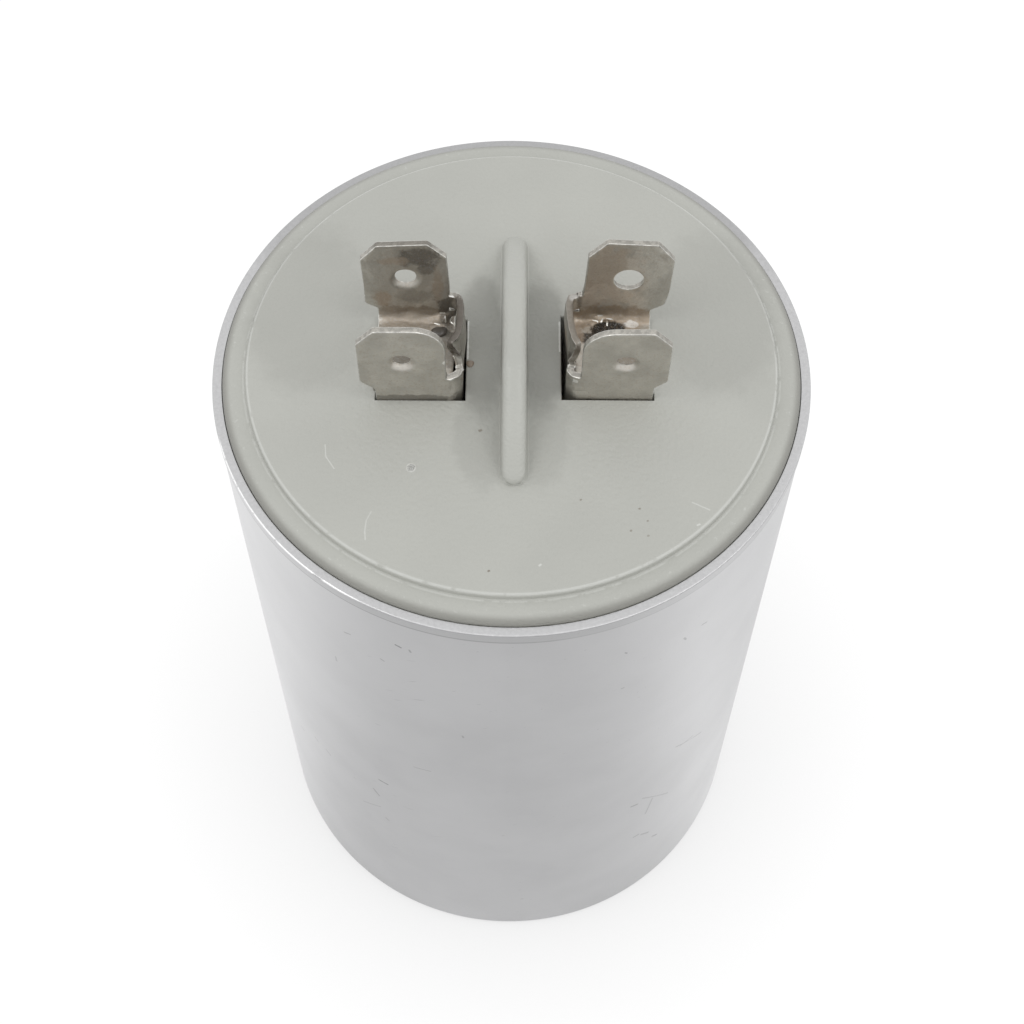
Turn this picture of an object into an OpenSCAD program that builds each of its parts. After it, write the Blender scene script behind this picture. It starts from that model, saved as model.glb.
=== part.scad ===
// Motor run capacitor: metallised film element in a drawn aluminium can,
// closed by a moulded plastic lid with a barrier rib and two folded
// quick-connect terminals. Millimetres, +Z up, origin at the centre of the
// can's base. The rib runs along Y, the terminals stand at -X and +X.

/* [Can] */
// Outside diameter over the mouth band
can_d = 45; // [38:0.5:60]
// Height of the can, base to cut rim
can_h = 65; // [55:1:100]
// Thickness of the drawn side wall
can_wall = 0.65; // [0.5:0.05:1]
// Thickness of the can's floor
can_floor = 0.8; // [0.6:0.1:1.2]
// Radius of the outer base corner
base_round = 0.8; // [0.5:0.1:1.5]
// Height of the slightly wider band at the mouth
band_h = 1.1; // [0.6:0.1:3]
// How far the mouth band stands out from the body, per side
band_out = 0.08; // [0.04:0.01:0.2]

/* [Lid] */
// Gap between the lid's skirt and the can wall
lid_gap = 0.1; // [0.05:0.05:0.3]
// Height of the lid's outer ring above the can's rim
lid_proud = 0.55; // [0.2:0.05:1.2]
// Radius of the lid's outer edge
lid_edge = 0.6; // [0.3:0.1:1]
// Width of the outer ring, from the lid's edge to the disc's step
ring_w = 1.75; // [1.2:0.05:3]
// Height of the raised disc above the outer ring
step_h = 0.6; // [0.3:0.1:1]
// Radius on the disc's upper edge
disc_edge = 0.3; // [0.1:0.05:0.3]
// Thickness of the lid's plate below the disc's face
plate_t = 2.6; // [1.8:0.1:3]
// Thickness of the lid's skirt
skirt_t = 1.5; // [1:0.1:2]
// How deep the lid's skirt dips into the resin
skirt_dip = 0.8; // [0.4:0.1:1.5]

/* [Barrier rib] */
// Length of the rib where it meets the disc
rib_l = 22.3; // [18:0.1:28]
// Thickness of the rib along its top
rib_t = 1.75; // [1.4:0.05:2.4]
// Height of the rib's flat middle
rib_h = 4.6; // [3:0.1:6]
// Length of the rib's flat middle
rib_flat = 7; // [4:0.5:10]
// Radius of the long curves that fall to the rib's ends
rib_fall = 24; // [20:1:40]
// Height of the rib's upright ends
rib_end_h = 0.5; // [0.4:0.1:1]
// Radius of the crown across the rib's top
rib_crown = 1.8; // [1.5:0.1:4]
// Extra thickness at the rib's root
rib_draft = 0.17; // [0.1:0.01:0.3]
// Corner radius of the rib's ends, seen from above
rib_corner = 0.55; // [0.3:0.05:0.65]

/* [Terminals] */
// Thickness of the terminal sheet
sheet_t = 0.5; // [0.4:0.05:0.8]
// Inner radius of the sheet's upright folds
fold_r = 0.65; // [0.4:0.05:0.8]
// How much the sheet thins at each face of an upright fold
fold_thin = 0.02; // [0.01:0.01:0.04]
// Distance from the middle of the lid to each terminal's side web
web_x = 3.75; // [3:0.05:4.5]
// Width of a connector tab
tab_w = 6.3; // [5.5:0.1:7.5]
// Height of a connector tab's tip above the disc
tab_h = 8.9; // [7.5:0.1:11]
// Depth of the folded terminal, over both tabs
fold_depth = 7.8; // [6.6:0.1:9]
// How far a tab's outer edge stands past its neck
shoulder = 0.95; // [0.5:0.05:1.2]
// Height of the lower end of a tab's sloping shoulder
shoulder_h = 1.5; // [1.2:0.1:2]
// Rise of that shoulder to the tab's outer edge
shoulder_rise = 0.9; // [0.5:0.1:1.2]
// Width of a tip chamfer
tip_w = 1.3; // [0.8:0.1:1.8]
// Height of a tip chamfer
tip_h = 1.5; // [0.8:0.1:2]
// Radius of the front tab's inner upper corner
arc_r = 2.3; // [1.8:0.1:3]
// Diameter of the hole in a tab
hole_d = 2.2; // [1.6:0.1:2.6]
// Distance from a tab's tip down to the middle of its hole
hole_drop = 3.8; // [3.2:0.1:4.5]
// Height of the side web above the disc
web_h = 3; // [2.5:0.1:3.2]
// Depth of the notch in the web's upper edge
notch_h = 1.6; // [0.8:0.1:1.8]
// Inner radius of the bend between the rear tab and the floor
bend_r = 0.8; // [0.5:0.1:1]
// Relief between the floor's bend and the rear upright fold
relief_h = 0.3; // [0.2:0.1:0.6]
// Relief between the web and the floor
relief_w = 0.1; // [0.1:0.05:0.4]
// Gap between the floor's front edge and the front tab
floor_gap = 0.3; // [0.2:0.1:1]
// Backward lean of the left rear tab, degrees
lean_left = 2.5; // [0:0.5:6]
// Backward lean of the right rear tab, degrees
lean_right = 4.5; // [0:0.5:6]
// Outward tilt of the rear tabs, degrees
rear_tilt = 2; // [0:0.5:3]
// Width of the leg that takes the lead
leg_w = 3; // [2.4:0.1:3.6]
// Length of that leg below the terminal's root
leg_l = 3; // [2.6:0.1:4]
// How far the terminal's root reaches below the lid's boss
root_out = 1; // [0.5:0.1:2]
// Depth of the boss under the lid around each terminal
boss_h = 2.4; // [1.5:0.1:3]
// Wall of that boss around the terminal's slot
boss_wall = 0.9; // [0.7:0.1:1.2]
// Clearance of the slot round the sheet
slot_gap = 0.12; // [0.1:0.01:0.2]
// Clearance of the slot beside the web, on the rib's side
slot_side = 0.35; // [0.2:0.05:0.6]

/* [Element] */
// Gap between the resin and the terminals' legs; the film is as wide as the
// height left below it allows
leg_gap = 0.95; // [0.5:0.05:5]
// Thickness of one sprayed zinc end
spray_t = 0.6; // [0.4:0.1:1]
// Outside diameter of the winding core
core_d = 8; // [7:0.5:12]
// Wall of the winding core
core_wall = 1.2; // [1:0.1:1.5]
// Thickness of the wrap round the winding
wrap_t = 0.5; // [0.3:0.1:0.8]
// Thickness of the resin between the wrap and the can
resin_side = 1.6; // [1:0.1:2.5]
// Thickness of the resin over the element
resin_top = 2.4; // [2.2:0.1:3.5]
// Thickness of the insulating disc under the element
base_t = 1.8; // [1.6:0.1:3]
// Assembly clearance between pieces inside the can
fit_gap = 0.1; // [0.05:0.05:0.15]

/* [Leads] */
// Diameter of the lead's conductor
wire_d = 1; // [0.8:0.1:1.1]
// Outside diameter of the lead's insulation
lead_d = 2; // [1.8:0.1:2.2]
// Inner bend radius of a lead, to its centre line
lead_bend = 1.6; // [1.4:0.1:2]
// Distance from the middle of the lid to each lead's leg
lead_x = 7.6; // [7.4:0.1:8]
// Distance of the top lead's foot behind the middle
lead_y = 2.6; // [2:0.1:4]
// Width of a solder joint
solder_d = 2.6; // [2.2:0.1:3]
// Height of a solder joint
solder_h = 0.8; // [0.5:0.1:1]
// Length of the bottom lead's foot, out from the middle
foot_l = 6; // [5.5:0.5:9]

/* [Hidden] */
$fn = 96;

// can
mouth_r = can_d / 2;
body_r = mouth_r - band_out;
bore_r = body_r - can_wall;

// lid, upwards from the rim
ring_z = can_h + lid_proud;
disc_z = ring_z + step_h;
plate_z = disc_z - plate_t;
boss_z = plate_z - boss_h;
lid_r = bore_r - lid_gap;
disc_r = lid_r - ring_w;

// root and leg of a terminal, below the lid
root_z = boss_z - root_out;
leg_z = root_z - leg_l;

// element, between the can's floor and the legs
base_z = can_floor + base_t;
film_z0 = base_z + spray_t;
resin_z = leg_z - leg_gap;
top_z = resin_z - resin_top;
film_z1 = top_z - spray_t;
film_w = film_z1 - film_z0;
resin_r = bore_r - fit_gap;
wrap_r = resin_r - resin_side;
film_r = wrap_r - fit_gap - wrap_t - fit_gap;
core_r = core_d / 2;
core_in = core_r - core_wall;

// terminals
fold_out = fold_r + sheet_t;
half_d = fold_depth / 2;
tab_x0 = web_x + fold_out;
tab_x1 = tab_x0 + tab_w;
root_x1 = tab_x1 - shoulder;
hole_x = (tab_x0 + tab_x1) / 2;
hole_z = tab_h - hole_drop;
floor_x0 = web_x + sheet_t + relief_w;
floor_y0 = -half_d + sheet_t + floor_gap;
bend_y = half_d - sheet_t - bend_r;
bend_z = sheet_t + bend_r;
fold_z = bend_z + relief_h;
lap_in = 0.1;
fold_drop = 0.05;

// leads
wire_r = wire_d / 2;
lead_r = lead_d / 2;
bore_gap = 0.05;
lead_z = leg_z + leg_l / 2;
pocket_gap = 0.3;
pocket_h = wire_d * 1.5;
foot_z = base_z - wire_d * 0.75;

// ---- shared shapes ----

// straight round bar from a to a + length along X, Y or Z
module bar(r, l) { cylinder(r = r, h = l); }
module bar_x(r, l) { rotate([0, 90, 0]) bar(r, l); }
module bar_y(r, l) { rotate([90, 0, 0]) bar(r, l); }

// quarter of a ring, from +X to +Y about Z
module elbow(r, bend) {
    rotate_extrude(angle = 90) translate([bend, 0]) circle(r = r);
}

// flat washer
module washer(r_out, r_in, h) {
    difference() {
        cylinder(r = r_out, h = h);
        translate([0, 0, -1]) cylinder(r = r_in, h = h + 2);
    }
}

// ---- can ----

module can() color("#b9b8bc") rotate_extrude() difference() {
    union() {
        square([body_r - base_round, can_h]);
        translate([0, base_round]) square([body_r, can_h - base_round]);
        translate([body_r - base_round, base_round]) circle(r = base_round);
        translate([0, can_h - band_h]) square([mouth_r, band_h]);
    }
    translate([0, can_floor]) square([bore_r, can_h]);
    translate([-base_round * 2, -1]) square([base_round * 2, can_h + 2]);
}

// ---- element ----

module base_insulator() color("#d8d4c4") difference() {
    translate([0, 0, can_floor]) cylinder(r = resin_r, h = base_t);
    // pocket for the bottom lead's foot and its solder
    translate([-wire_d * 1.5, -solder_d / 2 - pocket_gap, base_z - pocket_h])
        cube([foot_l + wire_d * 1.5 + pocket_gap, solder_d + pocket_gap * 2, pocket_h + 1]);
}

module film_winding() color("#c9ccd2") translate([0, 0, film_z0])
    washer(film_r, core_r + fit_gap, film_w);

module winding_core() color("#e6e2d6") translate([0, 0, film_z0])
    washer(core_r, core_in, film_w);

module end_spray(z) translate([0, 0, z]) washer(film_r, core_in, spray_t);
module end_spray_bottom() color("#8f9297") end_spray(base_z);
module end_spray_top() color("#8f9297") end_spray(film_z1);

module element_wrap() color("#caa64a") translate([0, 0, base_z])
    washer(wrap_r - fit_gap, film_r + fit_gap, top_z - base_z);

// ring round the element, closed over its top, with ways for the leads
module potting_resin() color("#3c3a38") difference() {
    union() {
        translate([0, 0, base_z])
            cylinder(r = resin_r, h = resin_z - skirt_dip - base_z);
        translate([0, 0, base_z])
            cylinder(r = lid_r - skirt_t - fit_gap, h = resin_z - base_z);
    }
    translate([0, 0, base_z - 1]) cylinder(r = wrap_r, h = top_z - base_z + 1);
    translate([-lead_x, lead_y, top_z - 1])
        cylinder(r = lead_r + fit_gap, h = resin_top + 2);
    translate([-lead_x, lead_y, top_z - 1])
        cylinder(r = solder_d / 2 + fit_gap, h = 1 + solder_h + fit_gap);
    translate([0, 0, top_z - 1])
        cylinder(r = lead_r + fit_gap, h = resin_top + 2);
}

// ---- leads ----

// top lead: up from the zinc end, over and forward through the leg's hole
module lead_left_path(r, z0, y_end) {
    up = lead_z - lead_bend - z0;
    run = lead_y - lead_bend - y_end;
    translate([-lead_x, lead_y, z0]) bar(r, up);
    translate([-lead_x, lead_y - lead_bend, lead_z - lead_bend])
        rotate([90, 0, 90]) elbow(r, lead_bend);
    translate([-lead_x, lead_y - lead_bend, lead_z]) bar_y(r, run);
}

// bottom lead: up through the core, out to the leg and forward
module lead_right_path(r, z0, y_end) {
    up = lead_z - lead_bend - z0;
    translate([0, 0, z0]) bar(r, up);
    translate([lead_bend, 0, lead_z - lead_bend])
        rotate([90, 0, 0]) rotate([0, 0, 90]) elbow(r, lead_bend);
    translate([lead_bend, 0, lead_z]) bar_x(r, lead_x - lead_bend * 2);
    translate([lead_x - lead_bend, -lead_bend, lead_z]) elbow(r, lead_bend);
    translate([lead_x, -lead_bend, lead_z]) bar_y(r, -lead_bend - y_end);
}

wire_y = -half_d - solder_h;
skin_y = -half_d + sheet_t + 0.5;

module lead_left_wire() color("#c98d5a")
    lead_left_path(wire_r, top_z, wire_y);

module lead_left_insulation() color("#2f5fae") difference() {
    lead_left_path(lead_r, top_z + solder_h, skin_y);
    lead_left_path(wire_r + bore_gap, top_z, skin_y - 1);
}

module lead_right_wire() color("#c98d5a") {
    lead_right_path(wire_r, foot_z + lead_bend, wire_y);
    // foot, turned out under the bottom zinc end
    translate([lead_bend, 0, foot_z + lead_bend])
        rotate([90, 0, 0]) rotate([0, 0, 180]) elbow(wire_r, lead_bend);
    translate([lead_bend, 0, foot_z]) bar_x(wire_r, foot_l - lead_bend);
}

module lead_right_insulation() color("#b5342c") difference() {
    lead_right_path(lead_r, film_z0 + 1, skin_y);
    lead_right_path(wire_r + bore_gap, film_z0, skin_y - 1);
}

// ---- solder ----

module solder_cone(bore) rotate_extrude() polygon([
    [bore, 0], [solder_d / 2, 0], [solder_d / 2 * 0.9, solder_h * 0.45],
    [bore + 0.2, solder_h], [bore, solder_h]]);

module solder_top() color("#a9abac") translate([-lead_x, lead_y, top_z])
    solder_cone(wire_r + bore_gap);

module solder_front(x) translate([x, -half_d, lead_z])
    rotate([90, 0, 0]) solder_cone(wire_r + bore_gap);
module solder_left() color("#a9abac") solder_front(-lead_x);
module solder_right() color("#a9abac") solder_front(lead_x);

// drop that holds the foot against the bottom zinc end
module solder_bottom() color("#a9abac") difference() {
    translate([foot_l - solder_d / 2, 0, base_z]) sphere(r = solder_d / 2);
    translate([foot_l - solder_d * 2, -solder_d, base_z]) cube(solder_d * 3);
    translate([0, 0, foot_z]) bar_x(wire_r + bore_gap, foot_l + bore_gap);
}

// ---- lid ----

// half section of the round lid
module lid_section() difference() {
    union() {
        translate([0, plate_z]) square([disc_r - disc_edge, plate_t]);
        translate([0, plate_z]) square([disc_r, plate_t - disc_edge]);
        translate([disc_r - disc_edge, disc_z - disc_edge]) circle(r = disc_edge);
        translate([0, plate_z]) square([lid_r - lid_edge, ring_z - plate_z]);
        translate([0, plate_z])
            square([lid_r, ring_z - lid_edge - plate_z]);
        translate([lid_r - lid_edge, ring_z - lid_edge]) circle(r = lid_edge);
        translate([lid_r - skirt_t, resin_z - skirt_dip + fit_gap])
            square([skirt_t, plate_z - resin_z + skirt_dip]);
    }
    translate([-1, 0]) square([1, can_h * 2]);
}

// plan of the rib, a bar with rounded corners
rib_half = rib_l / 2;
module rib_plan(w) {
    translate([-w / 2, -rib_half + rib_corner]) square([w, rib_l - rib_corner * 2]);
    translate([-w / 2 + rib_corner, -rib_half]) square([w - rib_corner * 2, rib_l]);
    for (x = [-1, 1], y = [-1, 1])
        translate([x * (w / 2 - rib_corner), y * (rib_half - rib_corner)])
            circle(r = rib_corner);
}

// section across the rib's flat middle: drafted sides and a crowned top
rib_root = rib_t + rib_draft;
module rib_section() intersection() {
    polygon([[-rib_root / 2, -1], [rib_root / 2, -1], [rib_root / 2, 0],
             [rib_t / 2, rib_h], [-rib_t / 2, rib_h], [-rib_root / 2, 0]]);
    union() {
        translate([-rib_root, -1]) square([rib_root * 2, rib_h + 1 - rib_crown]);
        translate([0, rib_h - rib_crown]) circle(r = rib_crown);
    }
}

// crowned wheel whose rim makes the long fall from the flat to one end
chord_y = rib_half - rib_flat / 2;
chord_z = rib_h - rib_end_h;
chord = sqrt(chord_y * chord_y + chord_z * chord_z);
chord_off = sqrt(rib_fall * rib_fall - chord * chord / 4);
wheel_y = (rib_half + rib_flat / 2) / 2 - chord_off * chord_z / chord;
wheel_z = (rib_h + rib_end_h) / 2 - chord_off * chord_y / chord;
module rib_wheel() translate([0, wheel_y, wheel_z]) rotate([0, 90, 0])
    rotate_extrude($fn = 360) intersection() {
        translate([0, -rib_root]) square([rib_fall, rib_root * 2]);
        union() {
            translate([0, -rib_root]) square([rib_fall - rib_crown, rib_root * 2]);
            translate([rib_fall - rib_crown, 0]) circle(r = rib_crown, $fn = 96);
        }
    }

module rib() intersection() {
    translate([0, 0, -1]) linear_extrude(rib_h + 1) rib_plan(rib_root);
    rotate([90, 0, 0]) translate([0, 0, -rib_l]) linear_extrude(rib_l * 2)
        rib_section();
    rib_wheel();
    mirror([0, 1, 0]) rib_wheel();
}

// plan of the slot for one terminal's root: along the front and the web
module slot_plan(g, side) {
    x0 = web_x - side;
    translate([x0, -half_d - g]) square([root_x1 + g - x0, sheet_t + g * 2]);
    translate([x0, -half_d - g])
        square([side + sheet_t + g, fold_depth - fold_out + g * 2]);
    // inside of the front fold
    translate([web_x + sheet_t, -half_d + sheet_t]) square(fold_r + g);
}

module boss_plan() translate([web_x - slot_side - boss_wall, -half_d - boss_wall])
    square([root_x1 - web_x + slot_side + boss_wall * 2, fold_depth + boss_wall * 2]);

module both_sides() {
    children();
    mirror([1, 0, 0]) children();
}

module lid() color("#b7b8b1") difference() {
    union() {
        rotate_extrude() lid_section();
        translate([0, 0, disc_z]) rib();
        both_sides() translate([0, 0, boss_z])
            linear_extrude(boss_h + 0.5) boss_plan();
    }
    both_sides() translate([0, 0, boss_z - 1])
        linear_extrude(disc_z - boss_z + 2) slot_plan(slot_gap, slot_side);
}

// ---- terminals, drawn at +X with Z = 0 on the disc ----

root_l = disc_z - root_z;

// one tip chamfer, cut from the corner at the origin towards +X and +Y
module tip_cut() polygon([[-tip_w, 0], [1, -tip_h - tip_h / tip_w], [1, 1], [-tip_w, 1]]);

// outline of a tab from the height low, seen from the front; the blade tilts
// outwards on its neck
module tab_outline(round_inner, low, tilt) {
    translate([tab_x0, low]) square([root_x1 - tab_x0, shoulder_h - low]);
    translate([tab_x0, low]) square([sheet_t, web_h - low]);
    translate([tab_x0, shoulder_h]) rotate(-tilt) translate([-tab_x0, -shoulder_h])
        blade(round_inner);
}

// blade of a tab above its neck
module blade(round_inner) difference() {
    polygon([[tab_x0, shoulder_h], [root_x1, shoulder_h],
             [tab_x1, shoulder_h + shoulder_rise], [tab_x1, tab_h], [tab_x0, tab_h]]);
    translate([tab_x1, tab_h]) tip_cut();
    if (!round_inner) translate([tab_x0, tab_h]) mirror([1, 0]) tip_cut();
    if (round_inner) difference() {
        translate([tab_x0 - 1, tab_h - arc_r]) square([arc_r + 1, arc_r + 1]);
        translate([tab_x0 + arc_r, tab_h - arc_r]) circle(r = arc_r);
    }
    translate([hole_x, hole_z]) circle(d = hole_d);
}

// front tab, down through the lid
module front_tab() translate([0, -half_d + sheet_t, 0]) rotate([90, 0, 0])
    linear_extrude(sheet_t) tab_outline(true, -root_l, 0);

// section of the floor from y0 on, its bend and the leaning rear tab, seen
// from the side
module rear_section(y0, lean) {
    translate([y0, 0]) square([bend_y - y0, sheet_t]);
    translate([bend_y, bend_z]) {
        intersection() {
            difference() {
                circle(r = bend_r + sheet_t);
                circle(r = bend_r);
            }
            translate([0, -bend_z * 2]) square([bend_z * 2, bend_z * 4]);
            rotate(-lean) translate([-bend_z * 2, -bend_z * 2])
                square([bend_z * 4, bend_z * 2]);
        }
        rotate(-lean) translate([bend_r, 0]) square([sheet_t, tab_h * 2]);
    }
}

// rear tab with its floor: that section, trimmed to the outline; beside the
// folds the floor is shorter and stops at the bend
module rear_tab(lean) {
    intersection() {
        rotate([90, 0, 90]) linear_extrude(tab_x1 * 2) rear_section(floor_y0, lean);
        translate([0, fold_depth, 0]) rotate([90, 0, 0])
            linear_extrude(fold_depth * 2) tab_outline(false, -1, rear_tilt);
    }
    intersection() {
        translate([floor_x0, 0, 0]) rotate([90, 0, 90])
            linear_extrude(tab_x0 + sheet_t - floor_x0)
                rear_section(-web_half + relief_w, lean);
        translate([0, -fold_depth, -1]) cube([tab_x1, fold_depth * 2, bend_z + 1]);
    }
}

// plan of the quarter fold between the web and one tab, a little thinner than
// the sheet, with laps that run on inside both
module fold_plan() {
    r_out = fold_out - fold_thin - lap_in;
    t = sheet_t - fold_thin * 2;
    intersection() {
        difference() {
            circle(r = r_out);
            circle(r = r_out - t);
        }
        translate([-fold_out - 1, -fold_out - 1]) square(fold_out + 1);
    }
    translate([-r_out, -0.01]) square([t, lap_in + sheet_t]);
    translate([-0.01, -r_out]) square([lap_in + sheet_t, t]);
}

// the fold from z0 up to just under the web's top, without its lap in the web
// above lap_z
module fold(z0, lap_z) translate([tab_x0 - lap_in, -web_half - lap_in, 0])
    difference() {
        translate([0, 0, z0]) linear_extrude(web_h - fold_drop - z0) fold_plan();
        translate([-fold_out, lap_in * 1.5, lap_z]) cube([fold_out, sheet_t * 2, web_h]);
    }

// where the lean about the bend takes a point of the web's plane
function leant(y, z, lean) = [
    bend_y + (y - bend_y) * cos(lean) + (z - bend_z) * sin(lean),
    bend_z - (y - bend_y) * sin(lean) + (z - bend_z) * cos(lean)];

// side view of the web: high at the back, notched towards the front
web_half = half_d - fold_out;
module web_outline(lean) polygon([
    [-web_half, -root_l], [web_half, -root_l], [web_half, bend_z],
    leant(web_half, fold_z, lean), leant(web_half, web_h, lean),
    [-web_half * 0.25, web_h], [-web_half * 0.6, web_h - notch_h],
    [-web_half * 0.8, web_h - notch_h], [-web_half, web_h - notch_h * 0.3]]);

// leg that takes the lead's end
module leg() difference() {
    translate([lead_x - leg_w / 2, -half_d, -root_l - leg_l])
        cube([leg_w, sheet_t, leg_l + 1]);
    translate([lead_x, -half_d - 1, lead_z - disc_z]) rotate([-90, 0, 0])
        cylinder(r = wire_r + bore_gap * 2, h = sheet_t + 2);
}

module terminal(lean) {
    front_tab();
    rear_tab(lean);
    // side web and its folds; the rear one leans with its tab
    rotate([90, 0, 90]) translate([0, 0, web_x]) linear_extrude(sheet_t)
        web_outline(lean);
    fold(-root_l, web_h - notch_h - lap_in);
    translate([0, bend_y, bend_z]) rotate([-lean, 0, 0])
        translate([0, -bend_y, -bend_z]) mirror([0, 1, 0])
            fold(fold_z, web_h);
    leg();
}

module terminal_right() color("#9a958c") translate([0, 0, disc_z])
    terminal(lean_right);
module terminal_left() color("#8f8a82") translate([0, 0, disc_z])
    mirror([1, 0, 0]) terminal(lean_left);

can();
base_insulator();
film_winding();
winding_core();
end_spray_bottom();
end_spray_top();
element_wrap();
potting_resin();
lead_left_wire();
lead_left_insulation();
lead_right_wire();
lead_right_insulation();
solder_top();
solder_bottom();
solder_left();
solder_right();
lid();
terminal_left();
terminal_right();
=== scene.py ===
# %% [markdown]
# # A motor run capacitor
# A drawn aluminium can, a moulded lid with a barrier rib, and two folded
# quick-connect terminals. The imported CAD model gives every size and place;
# this script gives the surfaces their form close up and their finish.
# The CAD box is kept here.

# %% Load the frame
import math

import bmesh
import bpy
from mathutils import Matrix, Vector, noise


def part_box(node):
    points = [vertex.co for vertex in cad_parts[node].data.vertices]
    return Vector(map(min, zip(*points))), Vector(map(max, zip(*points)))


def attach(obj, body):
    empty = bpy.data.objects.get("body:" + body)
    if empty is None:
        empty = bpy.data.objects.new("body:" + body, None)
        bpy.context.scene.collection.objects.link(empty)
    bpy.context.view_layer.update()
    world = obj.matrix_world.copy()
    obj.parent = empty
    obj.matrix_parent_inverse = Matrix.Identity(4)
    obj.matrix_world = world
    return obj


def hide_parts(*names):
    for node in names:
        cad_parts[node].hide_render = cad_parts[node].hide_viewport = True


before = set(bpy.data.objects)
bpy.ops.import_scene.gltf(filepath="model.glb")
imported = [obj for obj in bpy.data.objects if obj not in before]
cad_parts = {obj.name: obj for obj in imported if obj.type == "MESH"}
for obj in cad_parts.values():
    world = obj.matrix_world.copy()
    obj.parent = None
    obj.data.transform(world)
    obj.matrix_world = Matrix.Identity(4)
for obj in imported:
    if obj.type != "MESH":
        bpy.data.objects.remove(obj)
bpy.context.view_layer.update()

MM = 0.001
scene = bpy.context.scene

# %% [markdown]
# ## Sizes
# The can's box gives the radius and the height of the rim, and the lid's box
# gives the radius of the lid. The rest are the maker's own small sizes, in
# millimetres: wall, band, step, rib and sheet.

# %% Read the sizes off the frame
can_low, can_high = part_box("can")
lid_low, lid_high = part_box("lid")
left_low, left_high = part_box("terminal_left")
right_low, right_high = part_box("terminal_right")

CAN_R = can_high.x / MM
CAN_H = can_high.z / MM
CAN_WALL, CAN_FLOOR = 0.65, 0.8
BAND_H, BAND_OUT = 1.1, 0.08
BAND_Z = CAN_H - BAND_H
LID_R, LID_PRESS = lid_high.x / MM, 0.07
SEAT_R = LID_R + LID_PRESS
RIB_H = 4.6
DISC_Z = lid_high.z / MM - RIB_H
RING_W, STEP_H, PLATE_T = 1.75, 0.6, 2.6
RING_Z = DISC_Z - STEP_H
DISC_R = LID_R - RING_W
SHEET_T, WEB_X = 0.5, right_low.x / MM
TAB_H = right_high.z / MM - DISC_Z
REAR_Y, FRONT_Y = right_high.y / MM, right_low.y / MM
for label, value in (("foot", can_low.z / MM), ("rim", CAN_H), ("disc", DISC_Z), ("tab", TAB_H),
                     ("left tip", left_low.x / MM), ("left web", left_high.x / MM),
                     ("right web", WEB_X)):
    print(label, round(value, 2), "mm")

# %% [markdown]
# ## Small helpers
# A piece is made as a bmesh in millimetres, scaled to metres once, and linked
# with its place in its mesh. `finish` evaluates the modifiers and keeps the
# result as a plain mesh, so that nothing live is left on a finished piece.

# %% Helpers for meshes
def piece_from(name, bm, material=None):
    bmesh.ops.scale(bm, vec=(MM, MM, MM), verts=bm.verts)
    mesh = bpy.data.meshes.new(name)
    bm.to_mesh(mesh)
    bm.free()
    piece = bpy.data.objects.new(name, mesh)
    scene.collection.objects.link(piece)
    if material:
        mesh.materials.append(material)
    return piece


def finish(piece, sharp=None):
    depsgraph = bpy.context.evaluated_depsgraph_get()
    mesh = bpy.data.meshes.new_from_object(piece.evaluated_get(depsgraph))
    piece.modifiers.clear()
    piece.data = mesh
    mesh.name = piece.name
    if sharp is not None:
        for face in mesh.polygons:
            face.use_smooth = True
        mesh.set_sharp_from_angle(angle=math.radians(sharp))
    return piece


def outward(piece):
    """Merge the doubles and turn every face of a closed mesh outwards."""
    bm = bmesh.new()
    bm.from_mesh(piece.data)
    bmesh.ops.remove_doubles(bm, verts=bm.verts, dist=0.0005 * MM)
    bmesh.ops.recalc_face_normals(bm, faces=bm.faces)
    bm.to_mesh(piece.data)
    bm.free()
    return piece


def report(piece):
    bm = bmesh.new()
    bm.from_mesh(piece.data)
    open_edges = sum(1 for e in bm.edges if len(e.link_faces) != 2)
    print(piece.name, "faces", len(bm.faces), "open edges", open_edges,
          "volume mm3", round(bm.calc_volume() / MM ** 3, 1))
    bm.free()


def skinned(sections):
    """A closed skin over rings of points, with a face on each end."""
    bm = bmesh.new()
    rings = [[bm.verts.new(point) for point in section] for section in sections]
    for a, b in zip(rings, rings[1:]):
        for k in range(len(a)):
            n = (k + 1) % len(a)
            bm.faces.new((a[k], a[n], b[n], b[k]))
    bm.faces.new(rings[0])
    bm.faces.new(rings[-1])
    bmesh.ops.recalc_face_normals(bm, faces=bm.faces)
    return bm


# %% [markdown]
# Node trees turn the round shapes and colour every finish. Both kinds are
# written with the same few helpers: `put` adds a node with its inputs, and
# the rest are the sums, blends and textures that come back most often.

# %% Helpers for node trees
def put(tree, kind, links=None, **values):
    """Add a node; `links` sets its inputs, from sockets or plain values."""
    node = tree.nodes.new(kind)
    for key, value in values.items():
        setattr(node, key, value)
    for key, value in (links or {}).items():
        if isinstance(value, bpy.types.NodeSocket):
            tree.links.new(value, node.inputs[key])
        else:
            node.inputs[key].default_value = value
    return node


def calc(tree, operation, a, b=0.0, clamp=False):
    node = put(tree, "ShaderNodeMath", {0: a, 1: b}, operation=operation, use_clamp=clamp)
    return node.outputs[0]


def plus(tree, a, b):
    return calc(tree, "ADD", a, b)


def minus(tree, a, b):
    return calc(tree, "SUBTRACT", a, b)


def times(tree, a, b):
    return calc(tree, "MULTIPLY", a, b)


def over(tree, a, b):
    return calc(tree, "DIVIDE", a, b)


def vector(tree, operation, a, b=(0.0, 0.0, 0.0)):
    """Vector sums; a length or a dot product comes out as a number."""
    node = put(tree, "ShaderNodeVectorMath", {0: a, 1: b}, operation=operation)
    return node.outputs["Value" if operation in ("LENGTH", "DOT_PRODUCT") else "Vector"]


def ramp(tree, value, low, high):
    """0 below low, 1 above high, smooth between; low may be the greater."""
    links = {"Value": value, "From Min": low, "From Max": high}
    return put(tree, "ShaderNodeMapRange", links, interpolation_type="SMOOTHSTEP").outputs["Result"]


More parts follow.
